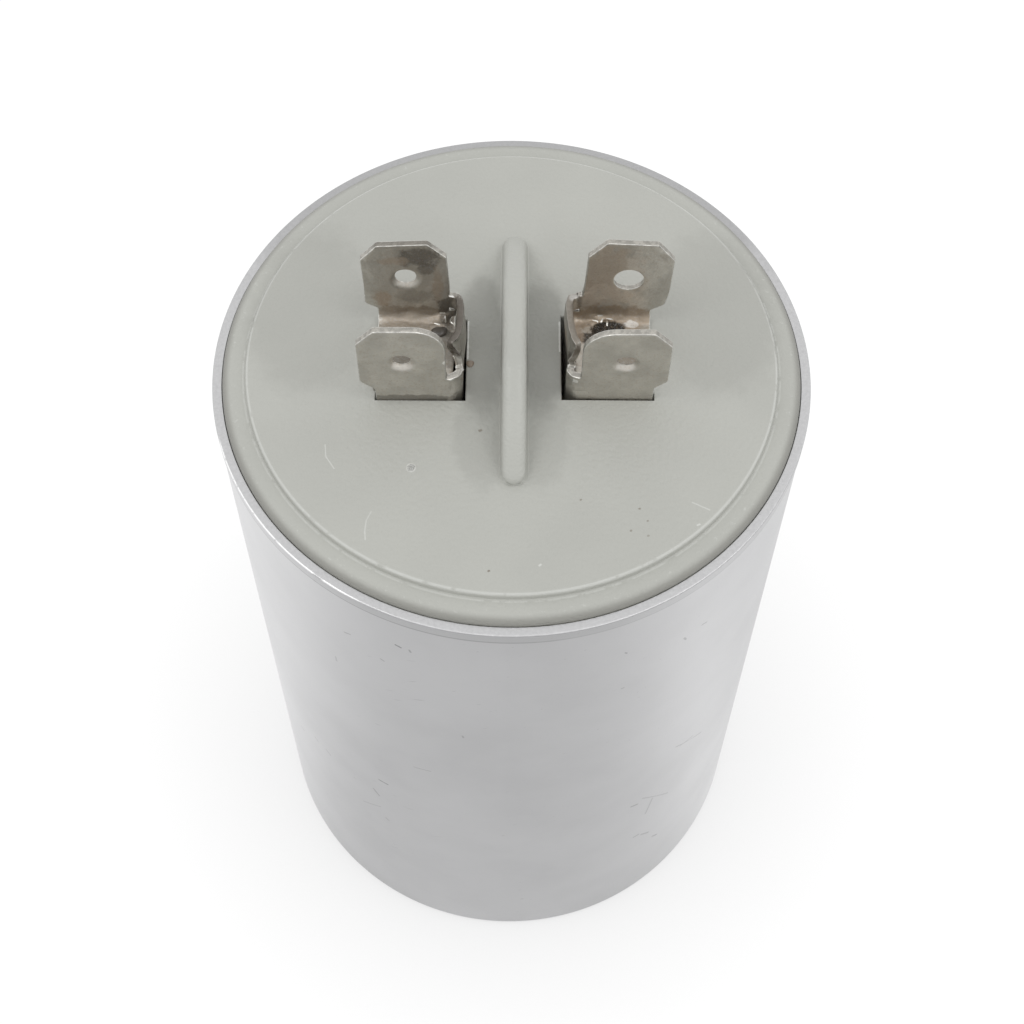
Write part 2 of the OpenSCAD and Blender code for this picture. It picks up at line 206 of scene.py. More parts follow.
def object_place(tree):
    return put(tree, "ShaderNodeTexCoord").outputs["Object"]


def grain_at(tree, place, scale, detail, rough=0.5, seed=None):
    """Noise from 0 to 1; a seed picks one of many patterns of it."""
    links = {"Vector": place, "Scale": scale, "Detail": detail, "Roughness": rough}
    if seed is None:
        return put(tree, "ShaderNodeTexNoise", links).outputs["Fac"]
    links["W"] = seed
    return put(tree, "ShaderNodeTexNoise", links, noise_dimensions="4D").outputs["Fac"]


# %% [markdown]
# ## Turned shapes
# The can and the round of the lid are solids of revolution: one half section
# carried round the axis. A spin tool would do it, but a node tree says the
# rule plainly and takes any section. A grid is made with one column for each
# point of the section and one row for each step round the axis; each grid
# point looks up its section point and is set at that radius, angle and height.

# %% The node tree that turns a section
def turning_tree():
    tree = bpy.data.node_groups.new("turn a section", "GeometryNodeTree")
    for label, kind in (("Section", "Geometry"), ("Steps", "Int"), ("Merge distance", "Float"),
                        ("Material", "Material")):
        tree.interface.new_socket(label, in_out="INPUT", socket_type="NodeSocket" + kind)
    tree.interface.new_socket("Geometry", in_out="OUTPUT", socket_type="NodeSocketGeometry")
    given = put(tree, "NodeGroupInput").outputs
    count = put(tree, "GeometryNodeAttributeDomainSize", {0: given["Section"]},
                component="MESH").outputs["Point Count"]
    grid = put(tree, "GeometryNodeMeshGrid", {
        "Size X": 1.0, "Size Y": 1.0, "Vertices X": count,
        "Vertices Y": plus(tree, given["Steps"], 1)}).outputs["Mesh"]
    place = put(tree, "GeometryNodeInputPosition").outputs[0]
    cell = put(tree, "ShaderNodeSeparateXYZ", {0: place}).outputs
    share = plus(tree, cell["X"], 0.5)
    column = calc(tree, "ROUND", times(tree, share, minus(tree, count, 1)))
    angle = times(tree, plus(tree, cell["Y"], 0.5), 2 * math.pi)
    found = put(tree, "GeometryNodeSampleIndex",
                {"Geometry": given["Section"], "Value": place, "Index": column},
                data_type="FLOAT_VECTOR", domain="POINT").outputs[0]
    point = put(tree, "ShaderNodeSeparateXYZ", {0: found}).outputs
    around = put(tree, "ShaderNodeCombineXYZ", {
        "X": times(tree, point["X"], calc(tree, "COSINE", angle)),
        "Y": times(tree, point["X"], calc(tree, "SINE", angle)), "Z": point["Z"]}).outputs[0]
    shape = grid
    for kind, links in (("SetPosition", {"Position": around}),
                        ("MergeByDistance", {"Distance": given["Merge distance"]}),
                        ("SetShadeSmooth", {}), ("RealizeInstances", {}),
                        ("SetMaterial", {"Material": given["Material"]})):
        shape = put(tree, "GeometryNode" + kind, {"Geometry": shape, **links}).outputs[0]
    put(tree, "NodeGroupOutput", {"Geometry": shape})
    return tree


TURNING = turning_tree()
WELD = 0.0005 * MM


def turned(name, section, steps, material):
    """A solid of revolution from (radius, height) points in millimetres."""
    bm = bmesh.new()
    verts = [bm.verts.new((r, 0, z)) for r, z in section]
    for a, b in zip(verts, verts[1:]):
        bm.edges.new((a, b))
    piece = piece_from(name, bm)
    lathe = piece.modifiers.new("turn", "NODES")
    lathe.node_group = TURNING
    values = {"Steps": steps, "Merge distance": WELD, "Material": material}
    for item in TURNING.interface.items_tree:
        if item.item_type == "SOCKET" and item.name in values:
            lathe[item.identifier] = values[item.name]
    finish(piece)
    outward(piece)
    report(piece)
    return piece


# %% [markdown]
# An outline is a list of corners, each with its own radius, and `arc_at` gives
# the arc for one of them. `rounded` does it for a section, and puts one more
# point just before and after each arc: those hold the shading of the flats
# true, so that only the arc looks round.

# %% Round the corners of a section
HOLD = 0.06


def arc_at(corner, back, on, steps):
    """The arc that rounds a corner (x, y, radius), and the points that hold its flats."""
    here, radius = Vector(corner[:2]), corner[2]
    before = (Vector(back[:2]) - here).normalized()
    after = (Vector(on[:2]) - here).normalized()
    half = before.angle(after) / 2
    reach = radius / math.tan(half)
    centre = here + (before + after).normalized() * radius / math.sin(half)
    start, end = here + before * reach, here + after * reach
    first = start - centre
    turn = first.angle_signed(end - centre)
    arc = []
    for k in range(steps + 1):
        spun = first.copy()
        spun.rotate(Matrix.Rotation(-turn * k / steps, 2))
        arc.append(tuple(centre + spun))
    return tuple(start + before * HOLD), arc, tuple(end + after * HOLD)


def rounded(corners, arc_steps):
    points = []
    for i, corner in enumerate(corners):
        if corner[2] == 0:
            points.append(corner[:2])
            continue
        low, arc, high = arc_at(corner, corners[i - 1], corners[i + 1], arc_steps)
        points += [low, *arc, high]
    return points


# %% [markdown]
# ## Shared surface effects
# Effects that several finishes use are shader node groups: soft blotches of
# tone, fine scratches, sparse specks, a patch at one named place, a ring round
# the axis, and a single stroke between two points. The patch serves for marks
# on the parts and also for painted shade and painted highlights; the ring
# serves for wear and also for painted shade and painted highlights. Each reads
# Object coordinates and puts out a mask; the shader itself stays in the
# material. A painted image could hold all of this, but masks that read
# millimetres need no unwrapping and stay sharp close up.

# %% Masks all over a surface
def blotches(tree, place, given):
    """Soft clouds, from noise."""
    scale = over(tree, 1 / MM, given["Size mm"])
    return ramp(tree, grain_at(tree, place, scale, 3.0, seed=given["Seed"]), 0.3, 0.7)


def scratches(tree, place, given):
    """Noise pulled out into lines along X, after a turn, and kept in patches."""
    turned_place = put(tree, "ShaderNodeVectorRotate", {"Vector": place, "Rotation": given["Turn"]},
                       rotation_type="EULER_XYZ").outputs[0]
    along = over(tree, 1 / MM, given["Length mm"])
    across = over(tree, 1 / MM, given["Width mm"])
    stretch = put(tree, "ShaderNodeCombineXYZ", {"X": along, "Y": across, "Z": across}).outputs[0]
    fine = vector(tree, "MULTIPLY", turned_place, stretch)
    lines = grain_at(tree, fine, 1.0, 1.0, seed=given["Seed"])
    patches = grain_at(tree, place, 160.0, 2.0, seed=given["Seed"])
    limit = minus(tree, 0.82, times(tree, given["Amount"], 0.2))
    line = ramp(tree, lines, limit, plus(tree, limit, 0.06))
    return times(tree, line, ramp(tree, patches, 0.45, 0.62))


def specks(tree, place, given):
    """Dots in the cells of a Voronoi texture, of which only a share is kept."""
    scale = over(tree, 1 / MM, given["Spacing mm"])
    cells = put(tree, "ShaderNodeTexVoronoi", {"Vector": place, "W": given["Seed"], "Scale": scale},
                voronoi_dimensions="4D").outputs
    luck = put(tree, "ShaderNodeSeparateColor", {"Color": cells["Color"]}).outputs
    size = over(tree, given["Radius mm"], given["Spacing mm"])
    varied = times(tree, size, plus(tree, luck["Green"], 0.4))
    dot = ramp(tree, cells["Distance"], times(tree, varied, 1.2), times(tree, varied, 0.7))
    return times(tree, dot, calc(tree, "LESS_THAN", luck["Red"], given["Share"]))


# %% Masks at one named place
def stain_and_light_patch(tree, place, given):
    """Round about a place, with a ragged edge; 1 within, 0 outside."""
    here = vector(tree, "MULTIPLY", place, (1 / MM, 1 / MM, 1 / MM))
    off = vector(tree, "SUBTRACT", here, given["Place mm"])
    far = vector(tree, "LENGTH", vector(tree, "DIVIDE", off, given["Reach mm"]))
    grain = grain_at(tree, here, over(tree, 1.0, given["Grain mm"]), 4.0, 0.6)
    rough = times(tree, minus(tree, grain, 0.5), given["Ragged"])
    return ramp(tree, plus(tree, far, times(tree, rough, 4.0)), 1.15, 0.75)


def wear_and_painted_light_ring(tree, place, given):
    """A ring round the axis, broken up in grains; Cover says how much of it."""
    radius = vector(tree, "LENGTH", vector(tree, "MULTIPLY", place, (1 / MM, 1 / MM, 0)))
    off = calc(tree, "ABSOLUTE", minus(tree, radius, given["Radius mm"]))
    band = ramp(tree, over(tree, off, given["Width mm"]), 1.0, 0.2)
    grain = grain_at(tree, place, over(tree, 1 / MM, given["Grain mm"]), 3.0, 0.65)
    limit = minus(tree, 0.78, times(tree, given["Cover"], 0.45))
    return times(tree, band, ramp(tree, grain, limit, plus(tree, limit, 0.12)))


def stroke(tree, place, given):
    """The line from one point to another, of uneven width."""
    here = vector(tree, "MULTIPLY", place, (1 / MM, 1 / MM, 1 / MM))
    off = vector(tree, "SUBTRACT", here, given["From mm"])
    along = vector(tree, "SUBTRACT", given["To mm"], given["From mm"])
    share = calc(tree, "DIVIDE", vector(tree, "DOT_PRODUCT", off, along),
                 vector(tree, "DOT_PRODUCT", along, along), clamp=True)
    nearest = put(tree, "ShaderNodeVectorMath", {0: along, "Scale": share}, operation="SCALE")
    far = vector(tree, "LENGTH", vector(tree, "SUBTRACT", off, nearest.outputs[0]))
    wide = times(tree, given["Width mm"], plus(tree, 0.4, grain_at(tree, here, 4.0, 2.0)))
    return ramp(tree, over(tree, far, wide), 1.0, 0.35)


# %% Wrap a mask as a group
def mask_group(name, make, **defaults):
    """Wrap a mask as a group; an input is named by its keyword, _ for a space."""
    tree = bpy.data.node_groups.new(name, "ShaderNodeTree")
    for key, default in defaults.items():
        kind = "NodeSocketVector" if isinstance(default, tuple) else "NodeSocketFloat"
        socket = tree.interface.new_socket(key.replace("_", " "), in_out="INPUT", socket_type=kind)
        socket.default_value = default
    tree.interface.new_socket("Mask", in_out="OUTPUT", socket_type="NodeSocketFloat")
    given = put(tree, "NodeGroupInput").outputs
    put(tree, "NodeGroupOutput", {"Mask": make(tree, object_place(tree), given)})
    return tree


# %% Make the groups
ORIGIN = (0.0, 0.0, 0.0)
BLOTCHES = mask_group("soft blotches", blotches, Size_mm=6.0, Seed=0.0)
SCRATCHES = mask_group("fine scratches", scratches, Turn=ORIGIN, Length_mm=2.5, Width_mm=0.06,
                       Amount=0.5, Seed=0.0)
SPECKS = mask_group("specks", specks, Spacing_mm=3.0, Radius_mm=0.1, Share=0.2, Seed=0.0)
STAIN_AND_LIGHT_PATCH = mask_group("stain_and_light_patch", stain_and_light_patch, Place_mm=ORIGIN, Reach_mm=(1.0, 1.0, 1.0), Ragged=0.35,
                   Grain_mm=0.8)
RING_OF_WEAR_AND_PAINTED_LIGHT = mask_group("ring of wear and painted light", wear_and_painted_light_ring, Radius_mm=20.0, Width_mm=0.3, Grain_mm=0.3,
                       Cover=0.5)
STROKE = mask_group("stroke", stroke, From_mm=ORIGIN, To_mm=(1.0, 0.0, 0.0), Width_mm=0.1)
print("shared effects", [group.name for group in (BLOTCHES, SCRATCHES, SPECKS, STAIN_AND_LIGHT_PATCH,
                                                  RING_OF_WEAR_AND_PAINTED_LIGHT, STROKE)])


# %% Helpers for finishes
def effect(tree, group, **inputs):
    """Place a shared effect in a material; input names use _ for a space."""
    links = {key.replace("_", " "): value for key, value in inputs.items()}
    return put(tree, "ShaderNodeGroup", links, node_tree=group).outputs[0]


def toned(colour, factor):
    """A colour made lighter or darker."""
    return tuple(min(1.0, c * factor) for c in colour)


def blend(tree, mask, a, b):
    """Colour a where the mask is 0, colour b where it is 1."""
    a, b = ((*c, 1.0) if isinstance(c, tuple) else c for c in (a, b))
    node = put(tree, "ShaderNodeMix", {0: mask, 6: a, 7: b}, data_type="RGBA", blend_type="MIX")
    return node.outputs[2]


def layer(tree, colour, mask, strength, tint):
    """Lay a tint over a colour, where the mask is and as strongly as told."""
    return blend(tree, times(tree, mask, strength), colour, tint)


def strokes(tree, colour, marks, tint):
    """Paint a list of single marks: (from, to, width, strength), in mm."""
    mask = 0.0
    for start, end, width, strength in marks:
        mark = effect(tree, STROKE, From_mm=start, To_mm=end, Width_mm=width)
        mask = calc(tree, "MAXIMUM", mask, times(tree, mark, strength))
    return blend(tree, mask, colour, tint)


def stain_and_light_mask(tree, place, reach, strength, **more):
    """One patch at a named place, used for marks on the part and for painted shade and highlights;
    its place is in mm, with the height over the lid's disc.
    """
    x, y, z = place
    mark = effect(tree, STAIN_AND_LIGHT_PATCH, Place_mm=(x, y, DISC_Z + z), Reach_mm=reach, **more)
    return times(tree, mark, strength)


def surface(name, colour=(0.8, 0.8, 0.8), metal=0.0, rough=0.5, **more):
    """A new material and its Principled shader."""
    material = bpy.data.materials.new(name)
    material.use_nodes = True
    tree = material.node_tree
    shader = tree.nodes["Principled BSDF"]
    shader.inputs["Base Color"].default_value = (*colour, 1.0)
    shader.inputs["Metallic"].default_value = metal
    shader.inputs["Roughness"].default_value = rough
    for key, value in more.items():
        shader.inputs[key.replace("_", " ")].default_value = value
    return material, tree, shader


def dress(tree, shader, colour, rough=None, height=None, depth_mm=0.0):
    """Link the colour and, where they vary, the roughness and the relief."""
    tree.links.new(colour, shader.inputs["Base Color"])
    if rough is not None:
        tree.links.new(rough, shader.inputs["Roughness"])
    if height is not None:
        relief = put(tree, "ShaderNodeBump",
                     {"Height": height, "Distance": depth_mm * MM, "Strength": 1.0})
        tree.links.new(relief.outputs[0], shader.inputs["Normal"])


# %% [markdown]
# ## The finishes
# Satin aluminium: mill finish from the drawing press, a fine grain with no
# clear direction, faint clouds of tone, and short scuffs where the can was
# handled. Single knocks and drag marks are strokes from a list. A dark seam
# and a darker lip mark the band under the mouth. The cut rim is rougher and a
# little brighter, because the trim tool tore clean metal: a mask on the height
# says where it starts. A painted highlight lies along its outer edge on the
# front left side. One material with masks was chosen over several, so that the
# can stays one shell.

# %% Aluminium
ALUMINIUM = (0.725, 0.725, 0.732)
CUT_METAL = (0.56, 0.56, 0.565)
# the colour of the painted highlight on the rim's outer edge
RIM_PAINTED_HIGHLIGHT = (0.95, 0.95, 0.95)
# under the rim, in mm: where the cut face begins and where it is whole
CUT_STARTS, CUT_WHOLE = 0.14, 0.08
# half widths of the seam and its core; the lip's shade from and to, over the seam
SEAM_HALF, SEAM_CORE = 0.22, 0.06
LIP_FROM, LIP_TO = -0.02, 0.04
# knocks and drag marks on the can: from, to, width, strength
CAN_MARKS = [
    ((-8.13, -20.90, 60.21), (-7.79, -21.02, 60.07), 0.15, 0.8),
    ((-7.15, -21.25, 60.10), (-7.08, -21.27, 59.83), 0.13, 0.5),
    ((-12.06, -18.90, 58.11), (-11.63, -19.17, 58.31), 0.13, 0.4),
    ((-9.44, -20.33, 56.67), (-9.20, -20.44, 56.53), 0.13, 0.4),
    ((-13.22, -18.11, 52.26), (-13.18, -18.13, 51.57), 0.12, 0.3),
    ((-11.10, -19.48, 30.63), (-10.37, -19.88, 30.57), 0.16, 0.75),
    ((-11.78, -19.07, 27.49), (-11.34, -19.34, 26.53), 0.15, 0.45),
    ((-7.78, -21.03, 37.47), (-6.39, -21.49, 37.70), 0.1, 0.35),
    ((-17.15, -14.44, 27.74), (-16.91, -14.72, 27.48), 0.15, 0.35),
    ((-16.10, -15.60, 27.75), (-15.74, -15.97, 27.36), 0.15, 0.35),
    ((-18.80, -12.21, 24.96), (-18.51, -12.65, 25.04), 0.14, 0.3),
    ((-11.00, -19.54, 21.56), (-10.76, -19.67, 21.22), 0.14, 0.35),
    ((-3.60, -22.13, 46.64), (-3.54, -22.14, 46.33), 0.12, 0.4),
    ((-13.01, -18.26, 22.28), (-11.38, -19.32, 23.75), 0.13, 0.25),
    ((14.29, -17.28, 56.47), (14.63, -16.99, 56.32), 0.14, 0.45),
    ((12.91, -18.33, 56.37), (13.08, -18.21, 55.89), 0.14, 0.4),
    ((8.33, -20.82, 59.03), (8.44, -20.77, 58.84), 0.12, 0.5),
    ((8.42, -20.78, 52.72), (8.57, -20.72, 52.74), 0.12, 0.4),
    ((14.22, -17.34, 33.15), (16.69, -14.97, 30.76), 0.12, 0.4),
    ((14.64, -16.98, 32.54), (15.79, -15.92, 32.20), 0.11, 0.35),
    ((10.85, -19.62, 24.99), (11.37, -19.32, 24.77), 0.2, 0.5),
    ((11.82, -19.05, 25.55), (14.36, -17.22, 22.15), 0.15, 0.3),
    ((11.62, -19.17, 15.93), (12.07, -18.89, 15.90), 0.18, 0.45),
    ((12.37, -18.70, 15.36), (13.08, -18.21, 14.60), 0.2, 0.4),
    ((13.64, -17.79, 12.39), (14.09, -17.44, 11.88), 0.2, 0.45),
    ((12.40, -18.68, 20.77), (12.82, -18.39, 23.84), 0.15, 0.3),
]
print("marks on the can", len(CAN_MARKS))


# %% The can's material
def can_aluminium():
    material, tree, shader = surface("satin_aluminium", metal=1.0, rough=0.4)
    place = object_place(tree)
    height = put(tree, "ShaderNodeSeparateXYZ", {"Vector": place}).outputs["Z"]
    grain = grain_at(tree, place, 5200.0, 2.0)
    clouds = effect(tree, BLOTCHES, Size_mm=14.0, Seed=2.0)
    faint = effect(tree, BLOTCHES, Size_mm=3.5, Seed=5.0)
    scuffs = effect(tree, SCRATCHES, Turn=(0.0, 0.5, 0.3), Length_mm=2.6, Width_mm=0.22,
                    Amount=0.55, Seed=4.0)
    rubs = effect(tree, SCRATCHES, Turn=(0.9, 0.2, -0.6), Length_mm=1.2, Width_mm=0.15,
                  Amount=0.35, Seed=9.0)
    colour = blend(tree, clouds, toned(ALUMINIUM, 0.95), toned(ALUMINIUM, 1.02))
    colour = layer(tree, colour, faint, 0.25, toned(ALUMINIUM, 1.08))
    colour = layer(tree, colour, scuffs, 0.4, toned(ALUMINIUM, 0.5))
    colour = layer(tree, colour, rubs, 0.3, toned(ALUMINIUM, 0.55))

    # the band's lip and seam; the seam is darker near the front left
    lip = ramp(tree, height, (BAND_Z + LIP_FROM) * MM, (BAND_Z + LIP_TO) * MM)
    colour = layer(tree, colour, lip, 0.16, toned(ALUMINIUM, 0.4))
    off_seam = calc(tree, "ABSOLUTE", minus(tree, height, BAND_Z * MM))
    near = effect(tree, STAIN_AND_LIGHT_PATCH, Place_mm=(-10.0, -19.0, CAN_H), Reach_mm=(15.0, 12.0, 4.0),
                  Ragged=0.2, Grain_mm=4.0)
    dark = plus(tree, 0.25, times(tree, near, 0.35))
    seam = times(tree, ramp(tree, off_seam, SEAM_HALF * MM, SEAM_CORE * MM), dark)
    colour = blend(tree, seam, colour, toned(ALUMINIUM, 0.45))
    colour = strokes(tree, colour, CAN_MARKS, toned(ALUMINIUM, 0.4))

    # the cut rim; darker at the back, with a painted highlight on its outer edge at the front left
    torn = grain_at(tree, place, 3600.0, 3.0, 0.7)
    cut = blend(tree, torn, toned(CUT_METAL, 0.82), toned(CUT_METAL, 1.18))
    back = effect(tree, STAIN_AND_LIGHT_PATCH, Place_mm=(0.0, 26.0, CAN_H), Reach_mm=(27.0, 24.0, 3.0),
                  Ragged=0.15, Grain_mm=3.0)
    cut = layer(tree, cut, back, 0.45, toned(CUT_METAL, 0.55))
    # painted highlight on the rim's outer edge, only at the front left
    rim_highlight_ring = effect(tree, RING_OF_WEAR_AND_PAINTED_LIGHT, Radius_mm=CAN_R - 0.04, Width_mm=0.09, Grain_mm=0.8,
                    Cover=1.0)
    side = effect(tree, STAIN_AND_LIGHT_PATCH, Place_mm=(-17.0, -14.5, CAN_H), Reach_mm=(9.0, 9.0, 2.0),
                  Ragged=0.2, Grain_mm=3.0)
    cut = blend(tree, times(tree, rim_highlight_ring, side), cut, RIM_PAINTED_HIGHLIGHT)

    rim = ramp(tree, height, (CAN_H - CUT_STARTS) * MM, (CAN_H - CUT_WHOLE) * MM)
    relief = plus(tree, times(tree, grain, 0.2), times(tree, torn, rim))
    rough = minus(tree, plus(tree, 0.36, times(tree, grain, 0.08)), times(tree, scuffs, 0.08))
    dress(tree, shader, blend(tree, rim, colour, cut), rough, relief, 0.02)
    return material


CAN_METAL = can_aluminium()
print(CAN_METAL.name, "nodes", len(CAN_METAL.node_tree.nodes))


# %% [markdown]
# Moulded plastic: a warm grey thermoplastic with a soft gloss, which slow
# clouds of tone follow. It has pale rub marks and a few dark dots in the
# resin. Pale rings at the edges of the step are painted highlights, and the
# pale rings near the edge of the skirt are wear, partly painted highlight.
# Painted shade darkens the lid where it meets the can, beside the rib, round
# the rib's near end and out beside the terminals towards the back. Two pale
# strokes along the slots beside the rib are painted highlights. Single
# scratches and specks stand in lists, as (x, y) points on the disc. Chance
# could spread them too, but the eye knows a part by the marks it bears.
# The grain counts its waves over a box, so that one function serves the fine
# texture of the whole moulding and the frosted, torn plastic of a small nub.

# %% Lid plastic
PLASTIC = (0.475, 0.48, 0.445)
# the tint of painted shade on the lid
PAINTED_SHADE = (0.2, 0.198, 0.178)
# place, reach, raggedness, strength, tint
# the first six are painted shade: beside the rib, round its near end, and out beside the terminals
# towards the back; the last is a pale mark round the nub
LID_SHADE_AND_STAINS = [
    ((-2.3, 1.2), (2.1, 6.5, 2.2), 0.12, 0.45, PAINTED_SHADE),
    ((2.3, 1.2), (2.1, 6.5, 2.2), 0.12, 0.45, PAINTED_SHADE),
    ((-2.2, -6.6), (2.1, 5.0, 1.0), 0.15, 0.17, PAINTED_SHADE),
    ((2.2, -6.6), (2.1, 5.0, 1.0), 0.15, 0.14, PAINTED_SHADE),
    ((-15.5, 4.5), (5.0, 8.0, 2.0), 0.12, 0.18, PAINTED_SHADE),
    ((15.5, 4.5), (5.0, 8.0, 2.0), 0.12, 0.17, PAINTED_SHADE),
    ((-7.19, -9.69), (0.36, 0.38, 0.5), 0.0, 0.55, (0.8, 0.8, 0.77)),
]
# from, to, width, strength
# the first two are painted highlights along the slot edges beside the rib; the rest are scratches
LID_SCRATCHES_AND_SLOT_HIGHLIGHTS = [
    ((-3.3, 3.28), (-3.3, -0.1), 0.1, 0.85), ((3.6, 3.3), (3.6, 0.6), 0.1, 0.75),
    ((-13.49, -7.8), (-13.38, -8.8), 0.07, 0.45), ((-13.38, -8.8), (-12.72, -9.82), 0.07, 0.45),
    ((-10.19, -15.6), (-10.26, -14.98), 0.08, 0.45), ((-10.26, -14.98), (-10.2, -14.08), 0.08, 0.4),
    ((-10.2, -14.08), (-9.89, -13.36), 0.08, 0.3), ((2.02, -17.57), (2.12, -17.5), 0.12, 0.6),
    ((12.94, -12.42), (14.13, -13.02), 0.09, 0.4), ((13.2, -14.27), (13.35, -14.2), 0.12, 0.6),
    ((-14.74, -13.22), (-14.62, -13.78), 0.1, 0.5),
]
LID_SPECKS = [
    ((-1.52, -18.04), (-1.47, -18.02), 0.13, 0.8), ((9.13, -12.97), (9.18, -12.95), 0.13, 0.7),
    ((8.48, -14.76), (8.5, -14.72), 0.12, 0.6), ((9.68, -13.96), (9.72, -13.93), 0.11, 0.6),
    ((10.77, -17.2), (10.84, -17.17), 0.14, 0.7), ((4.98, -12.28), (5.02, -12.25), 0.11, 0.6),
    ((-2.3, -6.5), (-2.22, -6.46), 0.18, 0.7), ((9.68, -15.15), (9.72, -15.13), 0.11, 0.5),
]
# radius, width, grain, cover, strength
# the two rings at the step's edges are painted highlights; the two near the skirt's edge are wear,
# partly painted highlight
LID_HIGHLIGHT_AND_WEAR_RINGS = [
    (DISC_R - 0.12, 0.13, 1.6, 1.0, 0.45), (DISC_R + 0.2, 0.11, 1.2, 0.9, 0.35),
    (LID_R - 0.7, 0.4, 0.35, 0.4, 0.32), (LID_R - 0.4, 0.22, 0.5, 0.4, 0.25),
]
print("marks on the lid", len(LID_SHADE_AND_STAINS) + len(LID_SCRATCHES_AND_SLOT_HIGHLIGHTS) + len(LID_SPECKS))


# %% The lid's material
def on_disc(marks):
    """Marks drawn with (x, y) points, put at the height of the disc."""
    return [((*start, DISC_Z), (*end, DISC_Z), width, strength)
            for start, end, width, strength in marks]


def lid_plastic(name, low, high):
    """The lid's finish, its grain laid over the box from low to high, in metres."""
    material, tree, shader = surface(name, rough=0.38, Specular_IOR_Level=0.5)
    slow = effect(tree, BLOTCHES, Size_mm=9.0, Seed=1.0)
    rub = effect(tree, SCRATCHES, Turn=(0.0, 0.0, 1.1), Length_mm=3.0, Width_mm=0.09,
                 Amount=0.3, Seed=3.0)
    cross = effect(tree, SCRATCHES, Turn=(0.0, 0.0, -0.5), Length_mm=2.2, Width_mm=0.07,
                   Amount=0.25, Seed=6.0)
    dark = effect(tree, SPECKS, Spacing_mm=3.4, Radius_mm=0.11, Share=0.16, Seed=5.0)
    pale = effect(tree, SPECKS, Spacing_mm=2.4, Radius_mm=0.06, Share=0.2, Seed=8.0)
    colour = blend(tree, slow, toned(PLASTIC, 0.965), toned(PLASTIC, 1.02))
    colour = layer(tree, colour, rub, 0.3, (0.62, 0.63, 0.6))
    colour = layer(tree, colour, cross, 0.25, (0.62, 0.63, 0.6))
    colour = layer(tree, colour, pale, 0.5, (0.68, 0.69, 0.66))
    colour = layer(tree, colour, dark, 0.75, (0.2, 0.19, 0.16))
    # pale rings: painted highlights at the step, wear and painted highlight at the skirt's edge
    for radius, width, grain, cover, strength in LID_HIGHLIGHT_AND_WEAR_RINGS:
        pale_ring = effect(tree, RING_OF_WEAR_AND_PAINTED_LIGHT, Radius_mm=radius, Width_mm=width, Grain_mm=grain,
                      Cover=cover)
        colour = layer(tree, colour, pale_ring, strength, (0.72, 0.73, 0.7))
    # painted shade beside the rib and the terminals, and the pale mark at the nub
    for (x, y), reach, ragged, strength, tint in LID_SHADE_AND_STAINS:
        mark = stain_and_light_mask(tree, (x, y, 0.0), reach, strength, Ragged=ragged, Grain_mm=1.5)
        colour = blend(tree, mark, colour, tint)
    # pale strokes: scratches, and painted highlights along two slot edges
    colour = strokes(tree, colour, on_disc(LID_SCRATCHES_AND_SLOT_HIGHLIGHTS), (0.74, 0.75, 0.72))
    colour = strokes(tree, colour, on_disc(LID_SPECKS), (0.2, 0.17, 0.13))
    # painted shade on the lid's edge, where it meets the can
    gap_shade = effect(tree, RING_OF_WEAR_AND_PAINTED_LIGHT, Radius_mm=LID_R + 0.1, Width_mm=0.75, Grain_mm=0.7, Cover=1.6)
    colour = layer(tree, colour, gap_shade, 0.62, (0.19, 0.185, 0.165))
    over_box = vector(tree, "SUBTRACT", object_place(tree), low)
    over_box = vector(tree, "DIVIDE", over_box, high - low)
    fine, wave = grain_at(tree, over_box, 2600.0, 2.0), grain_at(tree, over_box, 120.0, 1.0)
    dress(tree, shader, colour, plus(tree, 0.34, times(tree, slow, 0.08)),
          plus(tree, times(tree, fine, 0.05), wave), 0.05)
    return material


LID_PLASTIC = lid_plastic("lid_plastic", Vector((-SEAT_R, -SEAT_R, lid_low.z / MM)) * MM,
                          Vector((SEAT_R, SEAT_R, DISC_Z + RIB_H)) * MM)
print(LID_PLASTIC.name, "nodes", len(LID_PLASTIC.node_tree.nodes))


# %% [markdown]
# Terminal metal: tin-plated brass that has been soldered, plugged and pulled.
# The plating is grey, and brown where heat and flux got at it. The marks
# stand at named places, each with its reach along X, Y and Z; heights are over
# the disc. Not all are marks on the metal: the near-white ones are painted
# glints on the crumpled folds and the web tops, a pale spot in the right
# terminal's bend is a painted reflection, and two near-black patches on its
# floor and a dark strip at the foot of the left front tab are painted shade.
# The sheared edges of the sheet are darker and streaked, and the narrow break
# along them is bright, except where the same soot lies on it.
# Rust or heat could be spread by noise alone; named places were chosen, since
# burns sit where the iron touched and wear sits where a plug slid.

# %% Terminal metal
TIN = (0.6, 0.575, 0.525)
BROWN = (0.46, 0.38, 0.3)
SOOT = (0.14, 0.125, 0.105)
HAZE = (0.5, 0.48, 0.435)
# near-white, for painted glints on the crumpled folds
PAINTED_GLINT = (0.96, 0.96, 0.94)
MOTTLE_MM = 0.16


